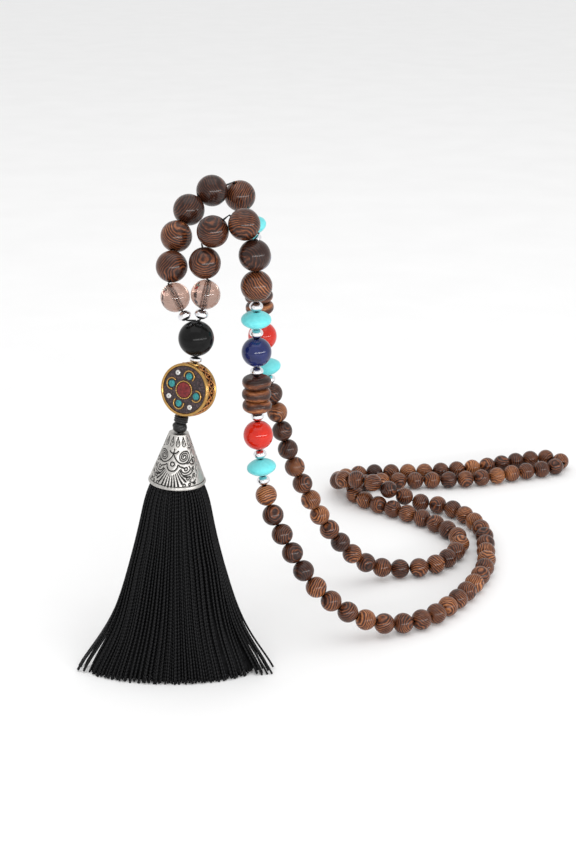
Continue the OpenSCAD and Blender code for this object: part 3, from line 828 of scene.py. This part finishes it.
def tip_faces(rows, columns):
    """Triangles from the first and the last ring of a grid to the two tips that follow its points."""
    j, end = np.arange(columns), rows * columns
    after, last = (j + 1) % columns, end - columns
    low = np.stack([np.full(columns, end), after, j], 1)
    high = np.stack([np.full(columns, end + 1), last + j, last + after], 1)
    return np.concatenate([low, high])


def dome(profile, columns):
    """A profile turned about Z that starts and ends on the axis, closed with two tips."""
    profile = np.asarray(profile, float)
    rings = turned(profile[1:-1], columns)
    tips = np.array([[0, 0, profile[0, 1]], [0, 0, profile[-1, 1]]])
    faces = [grid_faces(*rings.shape[:2]), tip_faces(*rings.shape[:2])]
    return np.concatenate([rings.reshape(-1, 3), tips]), faces


def on_both_faces(front, back=None):
    """Parts set down on the front face and, the same ones or others, on the back face, as one shape."""
    return joined([(on_face(p), f) for p, f in front] + [(on_face(p, True), f) for p, f in back or front])


def circle(r, lift, count, centre=(0, 0)):
    """Points round a circle over a face: its middle plus (r cos a, r sin a), at one lift."""
    a = np.linspace(0, 2 * np.pi, count, endpoint=False)
    return np.stack([r * np.cos(a) + centre[0], r * np.sin(a) + centre[1], 0 * a + lift], 1)


print("tube helpers ready")

# %% Rims and collars
a = np.linspace(0, 2 * np.pi, 24, endpoint=False)
rim_rings = []
for sign in (-1, 1):
    rim = np.stack([FACE_R + 0.5 + 0.5 * np.cos(a), sign * 3.0 + 0.5 * np.sin(a)], 1)
    inner = np.stack([FACE_R + 0.7 + 0.17 * np.cos(a[::2]), sign * 2.15 + 0.22 * np.sin(a[::2])], 1)
    rim_rings += [drum_ring(rim, 160), drum_ring(inner, 160)]
collar_side = np.array([[1.3, -0.8], [2.1, -0.8], [2.1, 0.05], [1.95, 0.28], [1.3, COLLAR_H]])
collar = turned(closed_profile(collar_side, 0.95, 0.12), 40)
for sign in (-1, 1):
    rim_rings.append((in_amulet(collar * [1, sign, sign] + [0, 0, sign * AMULET_D / 2]), ring_faces(collar)))
points, faces = joined(rim_rings)
piece("brass_rims", points, faces, brass, ["amulet_case"], "brass")
print("rims and collars:", len(points), "points")

# %% Dark ground of the side
inlay, tree, shader = new_finish("dark_inlay", Specular_IOR_Level=0.45, Coat_Weight=0.15, Coat_Roughness=0.3)
grit = speckle(tree, millimetres(tree), 3.2, 2.0)
fine = speckle(tree, millimetres(tree), 9.0, 1.0)
chips = add(tree, "ShaderNodeTexVoronoi", {"Vector": millimetres(tree), "Scale": 0.75},
            feature="DISTANCE_TO_EDGE").outputs[0]
chips = add(tree, "ShaderNodeMapRange", {0: chips, 1: 0.0, 2: 0.22, 3: -0.16, 4: 0.03}).outputs[0]
both = scaled(tree, fine, 0.45, maths(tree, "MULTIPLY", grit, 0.6))
both = maths(tree, "ADD", both, chips)
ground = ramp(tree, both, (0.38, (0.010, 0.005, 0.006)), (0.54, (0.040, 0.019, 0.022)),
              (0.66, (0.095, 0.055, 0.058)), (0.8, (0.26, 0.20, 0.20)))
feed(tree, shader.inputs, Base_Color=ground, Roughness=scaled(tree, grit, 0.3, 0.25))
bump(tree, both, 0.06, shader)
wall = drum_ring([(7.6, -2.9), (8.75, -2.9), (8.75, 2.9), (7.6, 2.9)], 120)
piece("drum_wall", *wall, inlay, slot="dark_inlay")
print("wall of the drum ready")

# %% Openwork round the side
# Two waves of wire cross each other all the way round, with a grain of brass in each eye and between them.
EYES = 18
turn = np.linspace(0, 2 * np.pi, EYES * 16, endpoint=False)
openwork = []
for sign in (-1, 1):
    depth = sign * 1.6 * np.sin(turn * EYES / 2)
    lift = 9.12 + 0.1 * sign * np.cos(turn * EYES / 2)
    path = np.stack([lift * np.cos(turn), depth, lift * np.sin(turn)], 1)
    openwork.append(wire(path, 0.33, 8, closed=True))
ball = np.linspace(-np.pi / 2, np.pi / 2, 7)
grain_of_brass = dome(np.stack([0.42 * np.cos(ball), 0.42 * np.sin(ball)], 1), 10)
for spot in (np.arange(EYES) + 0.5) * 2 * np.pi / EYES:
    at = np.array([9.05 * math.cos(spot), 0, 9.05 * math.sin(spot)])
    openwork.append((grain_of_brass[0] + at, grain_of_brass[1]))
points, faces = joined(openwork)
piece("brass_openwork", in_amulet(points), faces, red_brass, slot="brass")
print("openwork:", len(points), "points")

# %% Faces
r = np.linspace(1.2, FACE_R - 0.02, 26)
plate = turned(np.concatenate([[[r[0], -0.45], [r[-1], -0.45]], np.stack([r, 0 * r], 1)[::-1]]), 120)
points, faces = on_both_faces([(plate, ring_faces(plate))])
piece("inlaid_faces", points, faces, inlay, ["amulet_faces"], "dark_inlay")
print("faces:", len(points), "points")

# %% Red stone and its beaded ring
coral = mottled_finish("old_coral", (1.3, 4.0), ((0.35, (0.08, 0.004, 0.006)), (0.55, (0.165, 0.009, 0.011)),
                                                 (0.75, (0.25, 0.028, 0.026))),
                       gloss=(0.3, 0.3), depth=0.1, Specular_IOR_Level=0.4)


def cabochon(r, low, high):
    """Profile of a domed stone: flat below, then a quarter of an ellipse from the low to the high mark."""
    a = np.linspace(np.pi / 2, 0, 9)
    arch = np.stack([r * np.sin(a), low + (high - low) * np.cos(a)], 1)
    return np.concatenate([[[0, -0.1], [r, -0.1]], arch])


points, faces = on_both_faces([dome(cabochon(2.67, 0.35, 0.85), 48)])
piece("coral_stone", points, faces, coral, ["amulet_coral"], "coral")
print("red stone ready")

# %% Teal dots and white dots
teal = mottled_finish("teal_inlay", (2.4, 3.0), ((0.35, (0.008, 0.11, 0.12)), (0.55, (0.016, 0.22, 0.23)),
                                                 (0.75, (0.06, 0.38, 0.38))),
                      gloss=(0.3, 0.25), depth=0.08, Specular_IOR_Level=0.45)


def moved_out(shape, r, quarters, turn=0.0):
    """A shape moved out by r at a number of quarter turns, plus a turn of its own."""
    a = math.pi / 2 * quarters + turn
    return shape[0] + [r * math.cos(a), r * math.sin(a), 0], shape[1]


def teal_dot(quarter):
    """A teal dot of its own slightly uneven width, at one of the four quarters."""
    return moved_out(dome(cabochon(1.22, 0.3, 0.7) * [rng.uniform(0.94, 1.02), 1], 28), 5.2, quarter)


points, faces = on_both_faces(*([teal_dot(quarter) for quarter in range(4)] for face in ("front", "back")))
piece("teal_dots", points, faces, teal, ["amulet_dots"], "teal_inlay")
t = np.linspace(0, 1, 8)
dimpled = np.stack([0.98 * np.sqrt(1 - t ** 2) * (1 - 0.1 * t), 0.16 + 0.42 * np.sin(t * 2.2)], 1)
pearl = dome(np.concatenate([[[0, -0.1], [0.98, -0.1]], dimpled]), 24)
centre = dome([(0, 0.3), (0.2, 0.34), (0.24, 0.48), (0.14, 0.56), (0, 0.57)], 16)
for name, shape, finish, nodes, slot in (("white_dots", pearl, white_metal, ["amulet_pearls"], "white_metal"),
                                         ("dark_centres", centre, inlay, [], "dark_inlay")):
    points, faces = on_both_faces([moved_out(shape, 6.4, n, math.pi / 4) for n in (1, 2, 3)])
    piece(name, points, faces, finish, nodes, slot)
print("dots ready")

# %% Wires on the faces
# The ring is swollen into small beads, and where the lost dot was there is a ring of the dark ground.
beaded = 0.86 + 0.22 * np.cos(np.linspace(0, 2 * np.pi, 192, endpoint=False) * 24)
b = np.radians(np.linspace(-118, 118, 40))
shoe = np.stack([5.2 + 1.9 * np.cos(b), 1.95 * np.sin(b), 0 * b + 0.28], 1)
wires = [wire(circle(3.05, 0.28, 192), 0.27, 8, closed=True, swell=beaded)]
wires += [wire(shoe @ about_z(math.pi / 2 * quarter).T, 0.27, 8) for quarter in range(4)]
points, faces = on_both_faces(wires)
piece("face_wires", points, faces, brass, ["amulet_wires"], "brass")
lost = wire(circle(0.62, 0.05, 32, centre=(4.53, 4.53)), 0.2, 6, closed=True)
piece("lost_dot_rings", *on_both_faces([lost]), inlay, slot="dark_inlay")
print("face wires:", len(points), "points")

# %% [markdown]
# ## Threads and knot
# The knot over the cap is black waxed cord: a short stack of wraps and then a round ball of the same cord.
# Modelling the crossing cords would cost many tubes for a thing five millimetres high. Ridges that run
# round the collar and slant over the ball give the same look from every side.

# %% Thread group and its finishes
twist, takes, gives = new_group("Twisted thread", {"Place": "Vector", "Plies": "Float", "Pitch": "Float"},
                                {"Mask": "Float", "Fuzz": "Float"})
parts = add(twist, "ShaderNodeSeparateXYZ", {0: takes["Place"]}).outputs
turns = maths(twist, "ADD", maths(twist, "MULTIPLY", parts[0], takes["Plies"]),
              maths(twist, "DIVIDE", parts[1], takes["Pitch"]))
ridge = maths(twist, "SINE", maths(twist, "MULTIPLY", turns, 2 * math.pi))
fuzz = speckle(twist, takes["Place"], 1.0, 2.0, (6, 2.5, 1))
# Mask is high on the crests of the twist. It shapes the bump, and the thread finish also lightens the colour
# there as a painted highlight.
feed(twist, gives, Mask=scaled(twist, ridge, 0.5, 0.5), Fuzz=fuzz)


def thread_finish(name, pitch, low, high, depth, roughness, shine):
    """Twisted thread along a UV map: across is once round, along is in millimetres."""
    finish, tree, shader = new_finish(name, Specular_IOR_Level=shine)
    place = add(tree, "ShaderNodeUVMap", uv_map="UVMap").outputs[0]
    out = use_group(tree, twist, {"Place": place, "Plies": 2.0, "Pitch": pitch})
    # The colour is lighter on the crests of the twist, which is a painted highlight, mixed with the fuzz's
    # own random tone.
    mask = scaled(tree, out["Fuzz"], 0.5, maths(tree, "MULTIPLY", out["Mask"], 0.5))
    feed(tree, shader.inputs, Base_Color=ramp(tree, mask, (0.2, low), (0.85, high)),
         Roughness=scaled(tree, out["Fuzz"], 0.2, roughness))
    bump(tree, scaled(tree, out["Fuzz"], 0.25, out["Mask"]), depth, shader)
    return finish


tassel_thread = thread_finish("tassel_thread", 1.25, (0.0015, 0.0015, 0.0018), (0.007, 0.007, 0.008),
                              depth=0.18, roughness=0.32, shine=0.18)
cord = mottled_finish("waxed_cord", (1.6, 3.0, (1, 1, 4)),
                      ((0.3, (0.002, 0.002, 0.002)), (0.75, (0.009, 0.009, 0.010))),
                      gloss=(0.2, 0.28), depth=0.04, Specular_IOR_Level=0.25,
                      Coat_Weight=0.3, Coat_Roughness=0.12)
for node in ("string_thread", "hanger_thread"):
    for place in bpy.data.objects[node].material_slots:
        place.material = cord
print("thread finishes ready")

# %% Knot
# Three ridges go round the wraps, and the ridges on the ball slant as its crossing cords do.
h = np.linspace(0, 1, 60)
wraps = np.stack([2.24 + 0.26 * np.abs(np.sin(h * np.pi * 3)), WRAP_H * h], 1)
b = np.linspace(-1.2, 1.25, 60)
ball = np.stack([0.95 + 1.72 * np.cos(b), WRAP_H + BALL_H / 2 + 1.86 * np.sin(b)], 1)
outer = np.concatenate([[[0.9, 0.02]], wraps[1:-1], ball, [[0.9, WRAP_H + BALL_H - 0.02]]])[::-1] * [1, -1]
knot = turned(closed_profile(outer, 0.72, 0.1), 96)
a = np.arctan2(knot[..., 1], knot[..., 0])
depth_down = -knot[..., 2]
slanted = np.where(depth_down > WRAP_H + 0.05, np.abs(np.cos(2.5 * a + 1.1 * depth_down)), 1)
factor = np.where(np.hypot(knot[..., 0], knot[..., 1]) > 1.2, 0.9 + 0.1 * slanted, 1)
knot = knot * np.stack([factor, factor, 1 + 0 * factor], -1)
points = knot.reshape(-1, 3) @ stood(-knot_way).T + knot_at
piece("cord_wraps", points, ring_faces(knot), cord, ["cord_knot"], "thread")
print("knot:", len(points), "points")

# %% [markdown]
# ## The silver cap
# The cap is a thin cast cone with worked relief: leaves round the top, scrolls, a tongue with a small ring,
# rays that open to the rim and small scrolls between them, twice round. Dark polish lies in the
# lines. The lines are drawn flat, on the unrolled cone, as plain curves. Each grid point then takes its
# distance to the nearest line, which gives the depth of the cut and a mask for the dark colour.

# %% Ornament lines
def spiral(x, y, r, start, turns, hand):
    """A spiral that runs in from radius r to a fifth of it: x + r cos, y + r sin with a shrinking radius."""
    t = np.linspace(0, 1, 90)
    a = start + hand * 2 * np.pi * turns * t
    size = r * (1 - 0.82 * t)
    return np.stack([x + size * np.cos(a), y + size * np.sin(a)], 1)


def ring(x, y, r):
    """A small circle."""
    a = np.linspace(0, 2 * np.pi, 40)
    return np.stack([x + r * np.cos(a), y + r * np.sin(a)], 1)


def bowed(*knots):
    """A smooth line through a few points: each pair is joined by a cubic that heads for its neighbours."""
    k = np.array([knots[0], *knots, knots[-1]], float)
    t = np.linspace(0, 1, 16)[:, None]
    parts = [(2 * b + (c - a) * t + (2 * a - 5 * b + 4 * c - d) * t ** 2
              + (3 * b - a - 3 * c + d) * t ** 3) / 2 for a, b, c, d in zip(k, k[1:], k[2:], k[3:])]
    return np.concatenate(parts)


# Each line: points as (across, down the slope) in millimetres, and half its width. Mirrored ones come twice.
MIRRORED = [
    (bowed((0, 6.4), (0.5, 7.6), (1.5, 8.9), (2.9, 9.8), (4.4, 9.9), (5.7, 9.2), (6.1, 7.6), (5.3, 6.1),
           (4.0, 5.7)), 0.17),
    (spiral(3.95, 7.55, 1.85, -math.pi / 2, 2.3, -1), 0.16),
    (bowed((0, 6.2), (0.5, 6.35), (1.1, 6.1), (1.6, 5.6)), 0.18),
    (bowed((0, 12.7), (1.1, 12.4), (1.85, 11.4), (2.1, 10.4), (2.9, 10.9), (3.9, 11.3), (4.5, 11.6)), 0.18),
    (ring(5.2, 11.9, 0.55), 0.15),
    (bowed((4.9, 9.8), (6.0, 9.9), (7.0, 9.0), (8.2, 8.4), (9.2, 9.2), (8.6, 10.4), (7.3, 10.5),
           (6.6, 9.9)), 0.16),
    (ring(8.0, 9.5, 0.3), 0.18),
    (bowed((3.3, 11.9), (4.0, 12.9), (5.2, 13.3), (6.4, 12.9), (7.0, 12.0), (6.4, 11.2)), 0.16),
    (bowed((3.0, 12.2), (4.1, 13.8), (5.6, 14.1), (7.2, 13.7), (8.2, 12.8)), 0.15),
    (spiral(8.3, 12.2, 0.8, math.pi * 0.5, 1.4, 1), 0.14),
    (spiral(8.9, 14.6, 0.85, math.pi * 0.6, 1.4, 1), 0.14),
    (ring(6.4, 15.2, 0.55), 0.15),
    (bowed((6.9, 14.5), (7.7, 15.3), (7.3, 16.3), (8.6, 16.9), (9.9, 16.2)), 0.14),
    (spiral(9.4, 17.3, 0.6, math.pi, 1.2, 1), 0.13),
    (ring(7.3, 17.4, 0.4), 0.14),
    (ring(5.2, 17.6, 0.5), 0.15),
    (bowed((7.4, 5.6), (6.8, 6.8), (7.3, 7.9)), 0.15),
    (bowed((5.2, 4.6), (6.3, 4.9), (7.2, 4.4)), 0.14),
    (bowed((10.3, 11.2), (9.7, 12.6), (10.6, 13.8), (10.1, 15.2)), 0.14),
]
# The rays: each is a wedge that starts thin and grows wide toward the rim.
RAYS = [((0.35, 14.3), (0.5, 16.4), (0.6, 18.2)), ((0.95, 14.0), (1.45, 16.2), (1.8, 18.1)),
        ((1.5, 13.6), (2.4, 15.8), (3.1, 17.9)), ((2.0, 13.1), (3.2, 15.2), (4.4, 17.0)),
        ((2.4, 12.6), (3.9, 14.6), (5.6, 16.2)), ((2.7, 12.2), (4.5, 14.2), (6.2, 14.8))]
for knots in RAYS:
    path = bowed(*knots)
    MIRRORED += [(path[8 * n:8 * n + 12], 0.11 + 0.055 * n) for n in range(4)]
SINGLE = [(ring(0, 10.2, 0.72), 0.17), (bowed((0, 4.9), (0, 5.6), (0, 6.4)), 0.16)]
print(len(MIRRORED), "mirrored lines and", len(SINGLE), "single ones in each half of the cap")

# %% Cap surface
# The grid's rows run down the slope as far as the rounded rim, and the pattern comes twice round.
TOP_R, RIM_R, REPEATS = 3.4, 10.2, 2
SKIN_END, SKIN_ROWS, COLUMNS = 19.0, 178, 480
CUT_DEPTH, EDGE_LINE, LEAF_LENGTH = 0.24, 18.1, 3.6
SLANT = math.hypot(CAP_H, RIM_R - TOP_R)
SINE = (RIM_R - TOP_R) / SLANT


def unrolled(across, down_slope):
    """The cone laid flat: a point at a distance from the tip, at an angle shrunk by the cone's sine."""
    reach = TOP_R / SINE + down_slope
    angle = across / (TOP_R + SINE * down_slope) * SINE
    return np.stack([reach * np.sin(angle), reach * np.cos(angle)], -1)


around = (np.arange(COLUMNS // REPEATS) / (COLUMNS // REPEATS) - 0.5) * 2 * np.pi / REPEATS
slope = np.linspace(0.0, SKIN_END, SKIN_ROWS)
radius_at = TOP_R + SINE * slope
spots = unrolled(around[None] * radius_at[:, None], slope[:, None] + 0 * around[None])
cut = np.zeros(spots.shape[:2])
near = np.full(spots.shape[:2], 9.0)
for lines, hands in ((MIRRORED, (1, -1)), (SINGLE, (1,))):
    for line, half in lines:
        for hand in hands:
            flat_line = unrolled(line[:, 0] * hand, line[:, 1])
            gap = np.linalg.norm(spots[:, :, None] - flat_line[None, None], axis=-1).min(-1)
            cut = np.maximum(cut, np.exp(-(gap / half / 1.15) ** 2))
            near = np.minimum(near, gap)
print("grid of", spots.shape[:2], "in each half, mean cut", round(float(cut.mean()), 3))

# %% Leaves round the top and the edge line
LEAVES = 13
all_around = (np.arange(COLUMNS) / COLUMNS - 0.5 / REPEATS) * 2 * np.pi
cut, near = np.tile(cut, (1, REPEATS)), np.tile(near, (1, REPEATS))
leaf = (all_around * LEAVES / (2 * np.pi)) % 1 - 0.5
across = leaf[None] * (2 * np.pi / LEAVES) * radius_at[:, None]
part = np.clip((slope[:, None] - 0.5) / LEAF_LENGTH, 0, 1)
width = 0.62 * np.sin(np.pi * part ** 2.0) ** 0.8 + 0.02
edge_gap = np.abs(np.abs(across) - width) + 3 * ((part <= 0) | (part >= 1))
vein_gap = np.abs(across) + 3 * ((part < 0.45) | (part > 0.8))
cut = np.maximum(cut, np.exp(-(np.minimum(edge_gap, vein_gap) / 0.15) ** 2))
cut = np.maximum(cut, 0.8 * np.exp(-((slope[:, None] - EDGE_LINE) / 0.14) ** 2))
pillow = 0.1 * (1 - np.exp(-(near / 0.45) ** 2))
outer_r = radius_at[:, None] - CUT_DEPTH * cut + pillow - 0.05
print("deepest cut", round(float(CUT_DEPTH * cut.max()), 2), "mm")

# %% Cap finish
bright, dull = (0.66, 0.645, 0.615), (0.36, 0.345, 0.325)
old_silver, tree, shader, out = worn_metal("old_silver", bright, dull, 0.34, 0.025)
mark = add(tree, "ShaderNodeAttribute", attribute_name="engraved").outputs["Fac"]
dark = scaled(tree, speckle(tree, millimetres(tree), 1.2), 0.5, maths(tree, "MULTIPLY", mark, 1.2))
dark = stretched(tree, dark, 0.36, 0.92)
feed(tree, shader.inputs, Base_Color=mixed(tree, dark, out["Color"], (0.030, 0.029, 0.028)),
     Roughness=maths(tree, "ADD", out["Roughness"], maths(tree, "MULTIPLY", dark, 0.3)))
print("old silver ready")

# %% Cap piece
t = np.linspace(1.2, np.pi, 12)
LIP_R = 0.42
lip = np.stack([RIM_R - 0.4 + LIP_R * np.sin(t), LIP_R - CAP_H + LIP_R * np.cos(t)], 1)
inside = [(9.15, -18.25), (7.0, -12.5), (4.9, -6.9), (2.7, -0.9), (0.75, -0.85), (0.72, -0.1), (0.9, 0.0),
          (2.6, 0.0), (3.1, -0.02)]
rest = np.concatenate([lip, inside])
r = np.concatenate([outer_r, rest[:, :1] + 0 * all_around])[::-1]
z = np.concatenate([-slope * CAP_H / SLANT, rest[:, 1]])[::-1, None]
cap = np.stack([r * np.cos(all_around), r * np.sin(all_around), z + 0 * r], -1)
engraved = np.concatenate([cut, np.zeros((len(rest), COLUMNS))])[::-1]
axes = stood(-cap_way, front=(-0.22, -0.975, 0.0))
piece("silver_cap", cap.reshape(-1, 3) @ axes.T + cap_at, ring_faces(cap), old_silver, ["tassel_cap"],
      "antique_silver", {"engraved": engraved.ravel()})
print("cap:", len(cap) * COLUMNS * 2, "triangles")

# %% [markdown]
# ## The tassel
# A tassel is a bundle of twisted threads, held tight in the cap and free below. Each thread here is one
# tube. In the cap the threads are packed like seeds in a sunflower head, which fills a round mouth evenly.
# On the way down they spread over an oval, slowly at first and faster near the table. A few threads at both
# sides have left the bundle and show gaps of light. Behind the threads a dark core closes the middle.

# %% Thread paths
# Outline rows: share of the way down from the rim, half the width and half the depth in millimetres.
OUTLINE = np.array([(0, 8.6, 8.6), (0.03, 9.8, 9.3), (0.13, 11.9, 10.0), (0.3, 14.5, 10.4), (0.5, 18.3, 10.6),
                    (0.7, 23.0, 10.6), (0.88, 29.9, 10.6), (0.97, 33.8, 10.6), (1, 35.0, 10.6)])
THREADS, RINGS, SIDES, THREAD_R = 520, 34, 5, 0.38
# A thread's length below the rim in millimetres, and the share of it that is added inside the cap.
LENGTH, INSIDE = 75, 0.13
GOLDEN = math.pi * (3 - math.sqrt(5))
k = np.arange(THREADS)
packed = np.sqrt((k + 0.5) / THREADS)
bearing = k * GOLDEN
fall = np.concatenate([np.linspace(-INSIDE, -0.02, 4), np.linspace(0, 1, RINGS - 4)])[None]
low = np.clip(fall, 0, 1)
wide_at, deep_at = (np.polyval(np.polyfit(OUTLINE[:, 0], OUTLINE[:, n], 6), low) for n in (1, 2))
squeeze = 1 - 0.42 * np.clip(-fall / INSIDE, 0, 1)
print("outline of the tassel: half", wide_at.min().round(1), "to", wide_at.max().round(1), "mm wide")


def threads(bearing, top_share, foot_share, power, cut_off, tucked):
    """Paths of threads: each keeps its bearing, and its share of the outline runs from top to foot.
    Where the bundle is tucked, its sides stay behind the outline, more on the right than on the left."""
    free = low ** power[:, None]
    share = (top_share[:, None] * (1 - free) + foot_share[:, None] * free) * squeeze
    c, s = np.cos(bearing)[:, None], np.sin(bearing)[:, None]
    narrow = 1 - tucked * np.where(c > 0, 0.10, 0.19) * np.clip((low - 0.42) / 0.58, 0, 1) ** 0.9
    sway = 0.3 * np.sin(low * (5 + 3 * c) + bearing[:, None] * 3) * low
    axis = rim_at + (foot_at - rim_at) * low[..., None] + cap_way * np.minimum(fall, 0)[..., None] * LENGTH
    level = np.clip(low * 2, 0, 1)[..., None]
    wide = unit(np.cross([0, 1, 0], cap_way * (1 - level) + [0, 0, -1] * level))
    path = axis + (share * wide_at * narrow * c + sway)[..., None] * wide
    path = path + (share * deep_at * s)[..., None] * [0, 1, 0]
    path[..., 2] += cut_off[:, None] * low ** 6
    return path


paths = threads(bearing, packed, packed ** 0.45 * rng.uniform(0.965, 0.995, THREADS),
                1.1 + rng.normal(0, 0.06, THREADS), rng.uniform(0.0, 0.7, THREADS), tucked=1)
print(paths.shape, "threads by rings by axes")

# %% Loose threads at both sides
# They lie in clumps, two on the left and four on the right, so that light shows between the clumps.
LEFT, RIGHT = 7, 13
LOOSE = LEFT + RIGHT
side_turn = np.concatenate([rng.uniform(-0.4, 0.4, LEFT), math.pi + rng.uniform(-0.4, 0.4, RIGHT)])
clumps = np.repeat([0.94, 1.0, 0.85, 0.9, 0.95, 1.0], [3, 4, 4, 4, 3, 2])
foot_share = (clumps + rng.uniform(-0.012, 0.006, LOOSE)) / np.abs(np.cos(side_turn)) ** 0.7
loose = threads(side_turn, np.full(LOOSE, 0.98), foot_share, rng.uniform(1.0, 1.7, LOOSE),
                rng.uniform(0.0, 0.9, LOOSE), tucked=0)
paths = np.concatenate([paths, loose])
print(LOOSE, "loose threads,", len(paths), "in all")

# %% Thread tubes
way = unit(np.gradient(paths, axis=1))
side = unit(np.cross(way, [0.1, 0.95, 0.28]))
up = np.cross(side, way)
a = np.linspace(0, 2 * np.pi, SIDES, endpoint=False)
ring_shape = np.cos(a)[:, None] * side[:, :, None] + np.sin(a)[:, None] * up[:, :, None]
tubes = paths[:, :, None] + THREAD_R * ring_shape
faces = [repeated(f, len(paths), RINGS * SIDES) for f in (grid_faces(RINGS, SIDES), ends_of(RINGS, SIDES))]
print("thread tubes:", tubes.shape)

# %% UV map round and along each thread
steps = np.linalg.norm(np.diff(paths, axis=1), axis=-1)
length = np.concatenate([np.zeros((len(paths), 1)), np.cumsum(steps, 1)], 1)
length += rng.uniform(0, 5, (len(paths), 1))
j = np.tile(np.arange(SIDES), (RINGS - 1, 1))
u = np.stack([j, j + 1, j + 1, j], -1).reshape(-1)[None] / SIDES + 0 * length[:, :1]
v = np.stack([length[:, :-1], length[:, :-1], length[:, 1:], length[:, 1:]], -1)
v = np.repeat(v[:, :, None], SIDES, 2).reshape(len(paths), -1)
tips = np.stack([np.tile(np.arange(SIDES) / SIDES, 2)[None] + 0 * length[:, :1],
                 np.repeat(length[:, [0, -1]], SIDES, 1)], -1)
uv = np.concatenate([np.stack([u, v], -1).reshape(-1, 2), tips.reshape(-1, 2)])
piece("tassel_threads", tubes.reshape(-1, 3), faces, tassel_thread, ["tassel"], "tassel_thread", uv=uv)
print("tassel threads:", sum(len(f) * (f.shape[1] - 2) for f in faces), "triangles")

# %% Dark core
rows, columns = 30, 96
share = np.linspace(-0.1, 0.985, rows)[:, None]
a = np.linspace(0, 2 * np.pi, columns, endpoint=False)
low, over = np.clip(share, 0, 1), np.minimum(share, 0)
groove = 1 - 0.05 * np.abs(np.sin(a * 16)) * low
half_w, half_t = (np.interp(low, OUTLINE[:, 0], OUTLINE[:, n]) * 0.84 - 0.3 for n in (1, 2))
half_w, half_t = (half * groove * (1 + 3 * over) for half in (half_w, half_t))
axis = rim_at + (foot_at + [0, 0, 1.2] - rim_at) * low + cap_way * over * LENGTH
core = axis[:, None] + np.stack([-half_w * np.cos(a), half_t * np.sin(a), 0 * half_w], -1)
core_tips = [core[0].mean(0), core[-1].mean(0) + [0, 0, 2.5]]
dark_core = mottled_finish("dark_core", (1.4, 2.0, (1, 1, 0.08)),
                           ((0.35, (0.002, 0.002, 0.002)), (0.7, (0.008, 0.008, 0.009))),
                           Roughness=0.8, Specular_IOR_Level=0.1)
piece("tassel_core", np.concatenate([core.reshape(-1, 3), core_tips]),
      [grid_faces(rows, columns), tip_faces(rows, columns)], dark_core, slot="tassel_thread")
print("core:", core.shape)
